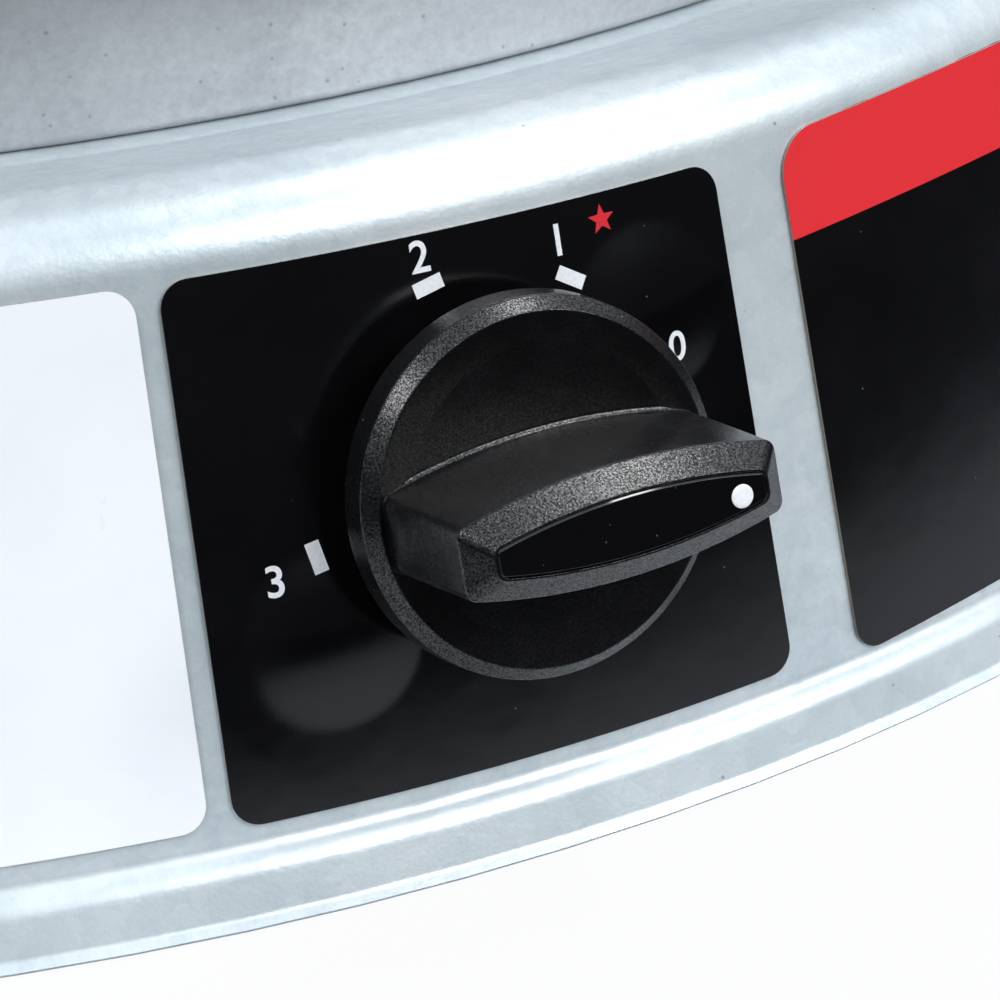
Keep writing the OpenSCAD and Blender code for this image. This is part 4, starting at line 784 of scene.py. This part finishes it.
def inletFitting():
    # a turned brass stem: shank, hexagon with chamfered corners, right-handed thread, nose and bore;
    # in the hexagon the radius is the smaller of the flat's distance and the chamfer cone, in the thread it
    # is the root plus a rounded ridge that climbs one pitch per turn
    inlet = dict(x=40.0, z=28.5862, start=178.0, shank=7.5, wall=0.6, ease=0.4, hexFrom=194.0, hexLong=8.0,
                 across=19.0, hexCut=1.1, hexSlope=1.2, neck=2.0, neckFall=0.6, threadFrom=223.0, tip=237.0,
                 crest=7.94, depth=0.85, pitch=1.411, perTurn=12, crestShape=0.7, runIn=1.5, runOut=1.2,
                 noseFoot=6.5, noseTip=4.2, noseEnd=241.0, noseEdge=0.3, bore=2.0, socket=3.0,
                 socketEnd=184.0, turns=180)
    start, shank, noseEnd = inlet["start"], inlet["shank"], inlet["noseEnd"]
    threadFrom, tip = inlet["threadFrom"], inlet["tip"]
    bearing = np.linspace(0, 2 * math.pi, inlet["turns"], endpoint=False)[None, :]
    hexAt = np.array([0, 0, 0.4, 1.2, 6.8, 7.6, inlet["hexLong"], inlet["hexLong"]])
    face = math.pi / 6
    flats = inlet["across"] / 2 / np.cos((bearing + face) % (2 * face) - face)
    cone = inlet["across"] / 2 / math.cos(face) - inlet["hexCut"]
    toEnd = np.minimum(hexAt, inlet["hexLong"] - hexAt)[:, None]
    hexRadius = np.minimum(flats, cone + toEnd * inlet["hexSlope"])
    hexRadius[0] = hexRadius[-1] = shank
    root = inlet["crest"] - inlet["depth"]
    threadAt = np.arange(threadFrom, tip + 0.01, inlet["pitch"] / inlet["perTurn"])
    phase = (threadAt[:, None] / inlet["pitch"] + bearing / (2 * math.pi)) % 1
    ridge = (0.5 - 0.5 * np.cos(2 * math.pi * phase)) ** inlet["crestShape"]
    fade = smoothStep(threadAt, threadFrom, threadFrom + inlet["runIn"])
    fade *= 1 - smoothStep(threadAt, tip - inlet["runOut"], tip)
    neckAt, bore, socket, edge = threadFrom - inlet["neck"], inlet["bore"], inlet["socket"], inlet["noseEdge"]
    rows = [(start, socket + inlet["wall"]), (start, shank - inlet["ease"]), (start + inlet["ease"], shank),
            (inlet["hexFrom"], shank)]
    rows += zip(hexAt + inlet["hexFrom"], hexRadius)
    rows += [(inlet["hexFrom"] + inlet["hexLong"], shank), (neckAt, shank),
             (neckAt + inlet["neckFall"], root)]
    rows += zip(threadAt, root + inlet["depth"] * ridge * fade[:, None])
    rows += [(tip + 0.1, inlet["noseFoot"]), (noseEnd - edge, inlet["noseTip"]),
             (noseEnd, inlet["noseTip"] - edge), (noseEnd, bore + edge), (noseEnd - edge, bore),
             (inlet["socketEnd"], bore), (inlet["socketEnd"], socket), (start + inlet["ease"], socket)]
    axial = np.array([at for at, radius in rows])[:, None]
    stem = closedRevolve(axial, np.array([radius + np.zeros(inlet["turns"]) for at, radius in rows]))
    points = (stem[..., [0, 2, 1]] + [inlet["x"], 0, inlet["z"]]) * mm
    piece = makePiece("inletStem", points, wrapFaces(*stem.shape[:2]), "heater", "brass")
    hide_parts("inlet_fitting")


inletFitting()
print("gas inlet")


# camera, floor and light

def placeCamera():
    # a long lens close to the knob, a little to its left and above it, with a slight roll
    view = dict(eye=(-110.448, -453.04, 168.325), azimuth=-24.762, elevation=27.238, roll=-2.699, lens=113.62,
                sensor=36, near=0.01, far=50)
    a, e, r = (math.radians(view[key]) for key in ("azimuth", "elevation", "roll"))
    back = np.array([math.sin(a) * math.cos(e), -math.cos(a) * math.cos(e), math.sin(e)])
    side = np.cross([0, 0, 1], back)
    side /= np.linalg.norm(side)
    rise = np.cross(back, side)
    x = math.cos(r) * side + math.sin(r) * rise
    y = -math.sin(r) * side + math.cos(r) * rise
    matrix = np.eye(4)
    matrix[:3, 0], matrix[:3, 1], matrix[:3, 2] = x, y, back
    matrix[:3, 3] = np.array(view["eye"]) * mm
    glass = bpy.data.cameras.new("camera")
    glass.lens, glass.sensor_width = view["lens"], view["sensor"]
    glass.clip_start, glass.clip_end = view["near"], view["far"]
    camera = bpy.data.objects.new("camera", glass)
    bpy.context.scene.collection.objects.link(camera)
    camera.matrix_world = Matrix(matrix.tolist())
    bpy.context.scene.camera = camera


def makeFloor():
    # a pale sweep, nearly white to the eye so that only the shadow reads; what it gives back to the object is
    # a round table of white paper whose light falls off between two distances, a painted falloff: the floor's
    # own colour darkens from paper to near black as painted shade where the lit table ends
    floor = dict(half=9.0, paper="#cbced2", far="#141516", whiten=0.93, brightTo=0.23, darkFrom=0.48)
    material = bpy.data.materials.new("studioFloor")
    material.use_nodes = True
    tree = material.node_tree
    tree.nodes.clear()
    here = addNode(tree, "ShaderNodeTexCoord").outputs["Object"]
    away = addNode(tree, "ShaderNodeVectorMath", {0: here}, operation="LENGTH").outputs["Value"]
    # painted shade: the floor's colour darkens with distance, standing in for light that falls off
    edge = addNode(tree, "ShaderNodeMapRange", {
        "Value": away, "From Min": floor["brightTo"], "From Max": floor["darkFrom"]},
        interpolation_type="SMOOTHSTEP").outputs[0]
    tone = mixColours(tree, edge, floor["paper"], floor["far"])
    lit = addNode(tree, "ShaderNodeBsdfDiffuse", {"Color": tone})
    glow = addNode(tree, "ShaderNodeEmission", {"Color": (1, 1, 1, 1), "Strength": 1.0})
    path = addNode(tree, "ShaderNodeLightPath")
    amount = calculate(tree, "MULTIPLY", path.outputs["Is Camera Ray"], floor["whiten"])
    both = addNode(tree, "ShaderNodeMixShader", {0: amount, 1: lit.outputs[0], 2: glow.outputs[0]})
    addNode(tree, "ShaderNodeOutputMaterial", {"Surface": both.outputs[0]})
    mesh = bpy.data.meshes.new("floor")
    h = floor["half"]
    mesh.from_pydata([(-h, -h, 0), (h, -h, 0), (h, h, 0), (-h, h, 0)], [], [(0, 1, 2, 3)])
    mesh.materials.append(material)
    piece = bpy.data.objects.new("floor", mesh)
    bpy.context.scene.collection.objects.link(piece)


def makeWorld():
    # even studio air; rays from the camera meet plain white
    air = dict(horizon="#3b3c3e", zenith="#dfe6ee", low=0.1, high=0.8, strength=1.33)
    world = bpy.data.worlds.new("studioAir")
    bpy.context.scene.world = world
    world.use_nodes = True
    tree = world.node_tree
    tree.nodes.clear()
    look = addNode(tree, "ShaderNodeTexCoord")
    height = addNode(tree, "ShaderNodeSeparateXYZ", {"Vector": look.outputs["Generated"]}).outputs["Z"]
    climb = addNode(tree, "ShaderNodeMapRange", {
        "Value": height, "From Min": air["low"], "From Max": air["high"]},
        interpolation_type="SMOOTHSTEP").outputs[0]
    tone = mixColours(tree, climb, air["horizon"], air["zenith"])
    soft = addNode(tree, "ShaderNodeBackground", {"Color": tone, "Strength": air["strength"]})
    white = addNode(tree, "ShaderNodeBackground", {"Color": (1, 1, 1, 1), "Strength": 1.0})
    path = addNode(tree, "ShaderNodeLightPath")
    both = addNode(tree, "ShaderNodeMixShader", {0: path.outputs["Is Camera Ray"], 1: soft.outputs[0],
                                                 2: white.outputs[0]})
    addNode(tree, "ShaderNodeOutputWorld", {"Surface": both.outputs[0]})


def softbox(name, centre, aim, size, watts):
    # a rectangular lamp that looks at its aim and that the camera doesn't see; places in metres
    lamp = bpy.data.lights.new(name, "AREA")
    lamp.shape, lamp.size, lamp.size_y, lamp.energy = "RECTANGLE", size[0], size[1], watts
    holder = bpy.data.objects.new(name, lamp)
    bpy.context.scene.collection.objects.link(holder)
    back = np.array(centre, float) - np.array(aim, float)
    back /= np.linalg.norm(back)
    side = np.cross([0, 0, 1], back)
    side /= np.linalg.norm(side)
    matrix = np.eye(4)
    matrix[:3] = np.stack([side, np.cross(back, side), back, centre], axis=1)
    holder.matrix_world = Matrix(matrix.tolist())
    holder.visible_camera = False


placeCamera()
makeFloor()
makeWorld()
lamps = dict(
    frontBox=dict(centre=(0.55, -1.15, 0.86), aim=(0, -0.15, 0.05), size=(0.9, 0.33), watts=10),
    topBox=dict(centre=(0.73, -0.3, 1.8), aim=(0, -0.2, 0.05), size=(0.6, 0.18), watts=7),
    leftBox=dict(centre=(-0.94, -0.59, 1.29), aim=(0, -0.2, 0.05), size=(0.3, 0.3), watts=4.2),
    backBox=dict(centre=(0.1, 0.9, 1.7), aim=(0, -0.1, 0.05), size=(0.9, 0.5), watts=16))
for name, lamp in lamps.items():
    softbox(name, **lamp)
bpy.context.scene.view_settings.view_transform = "Standard"
print("stage")
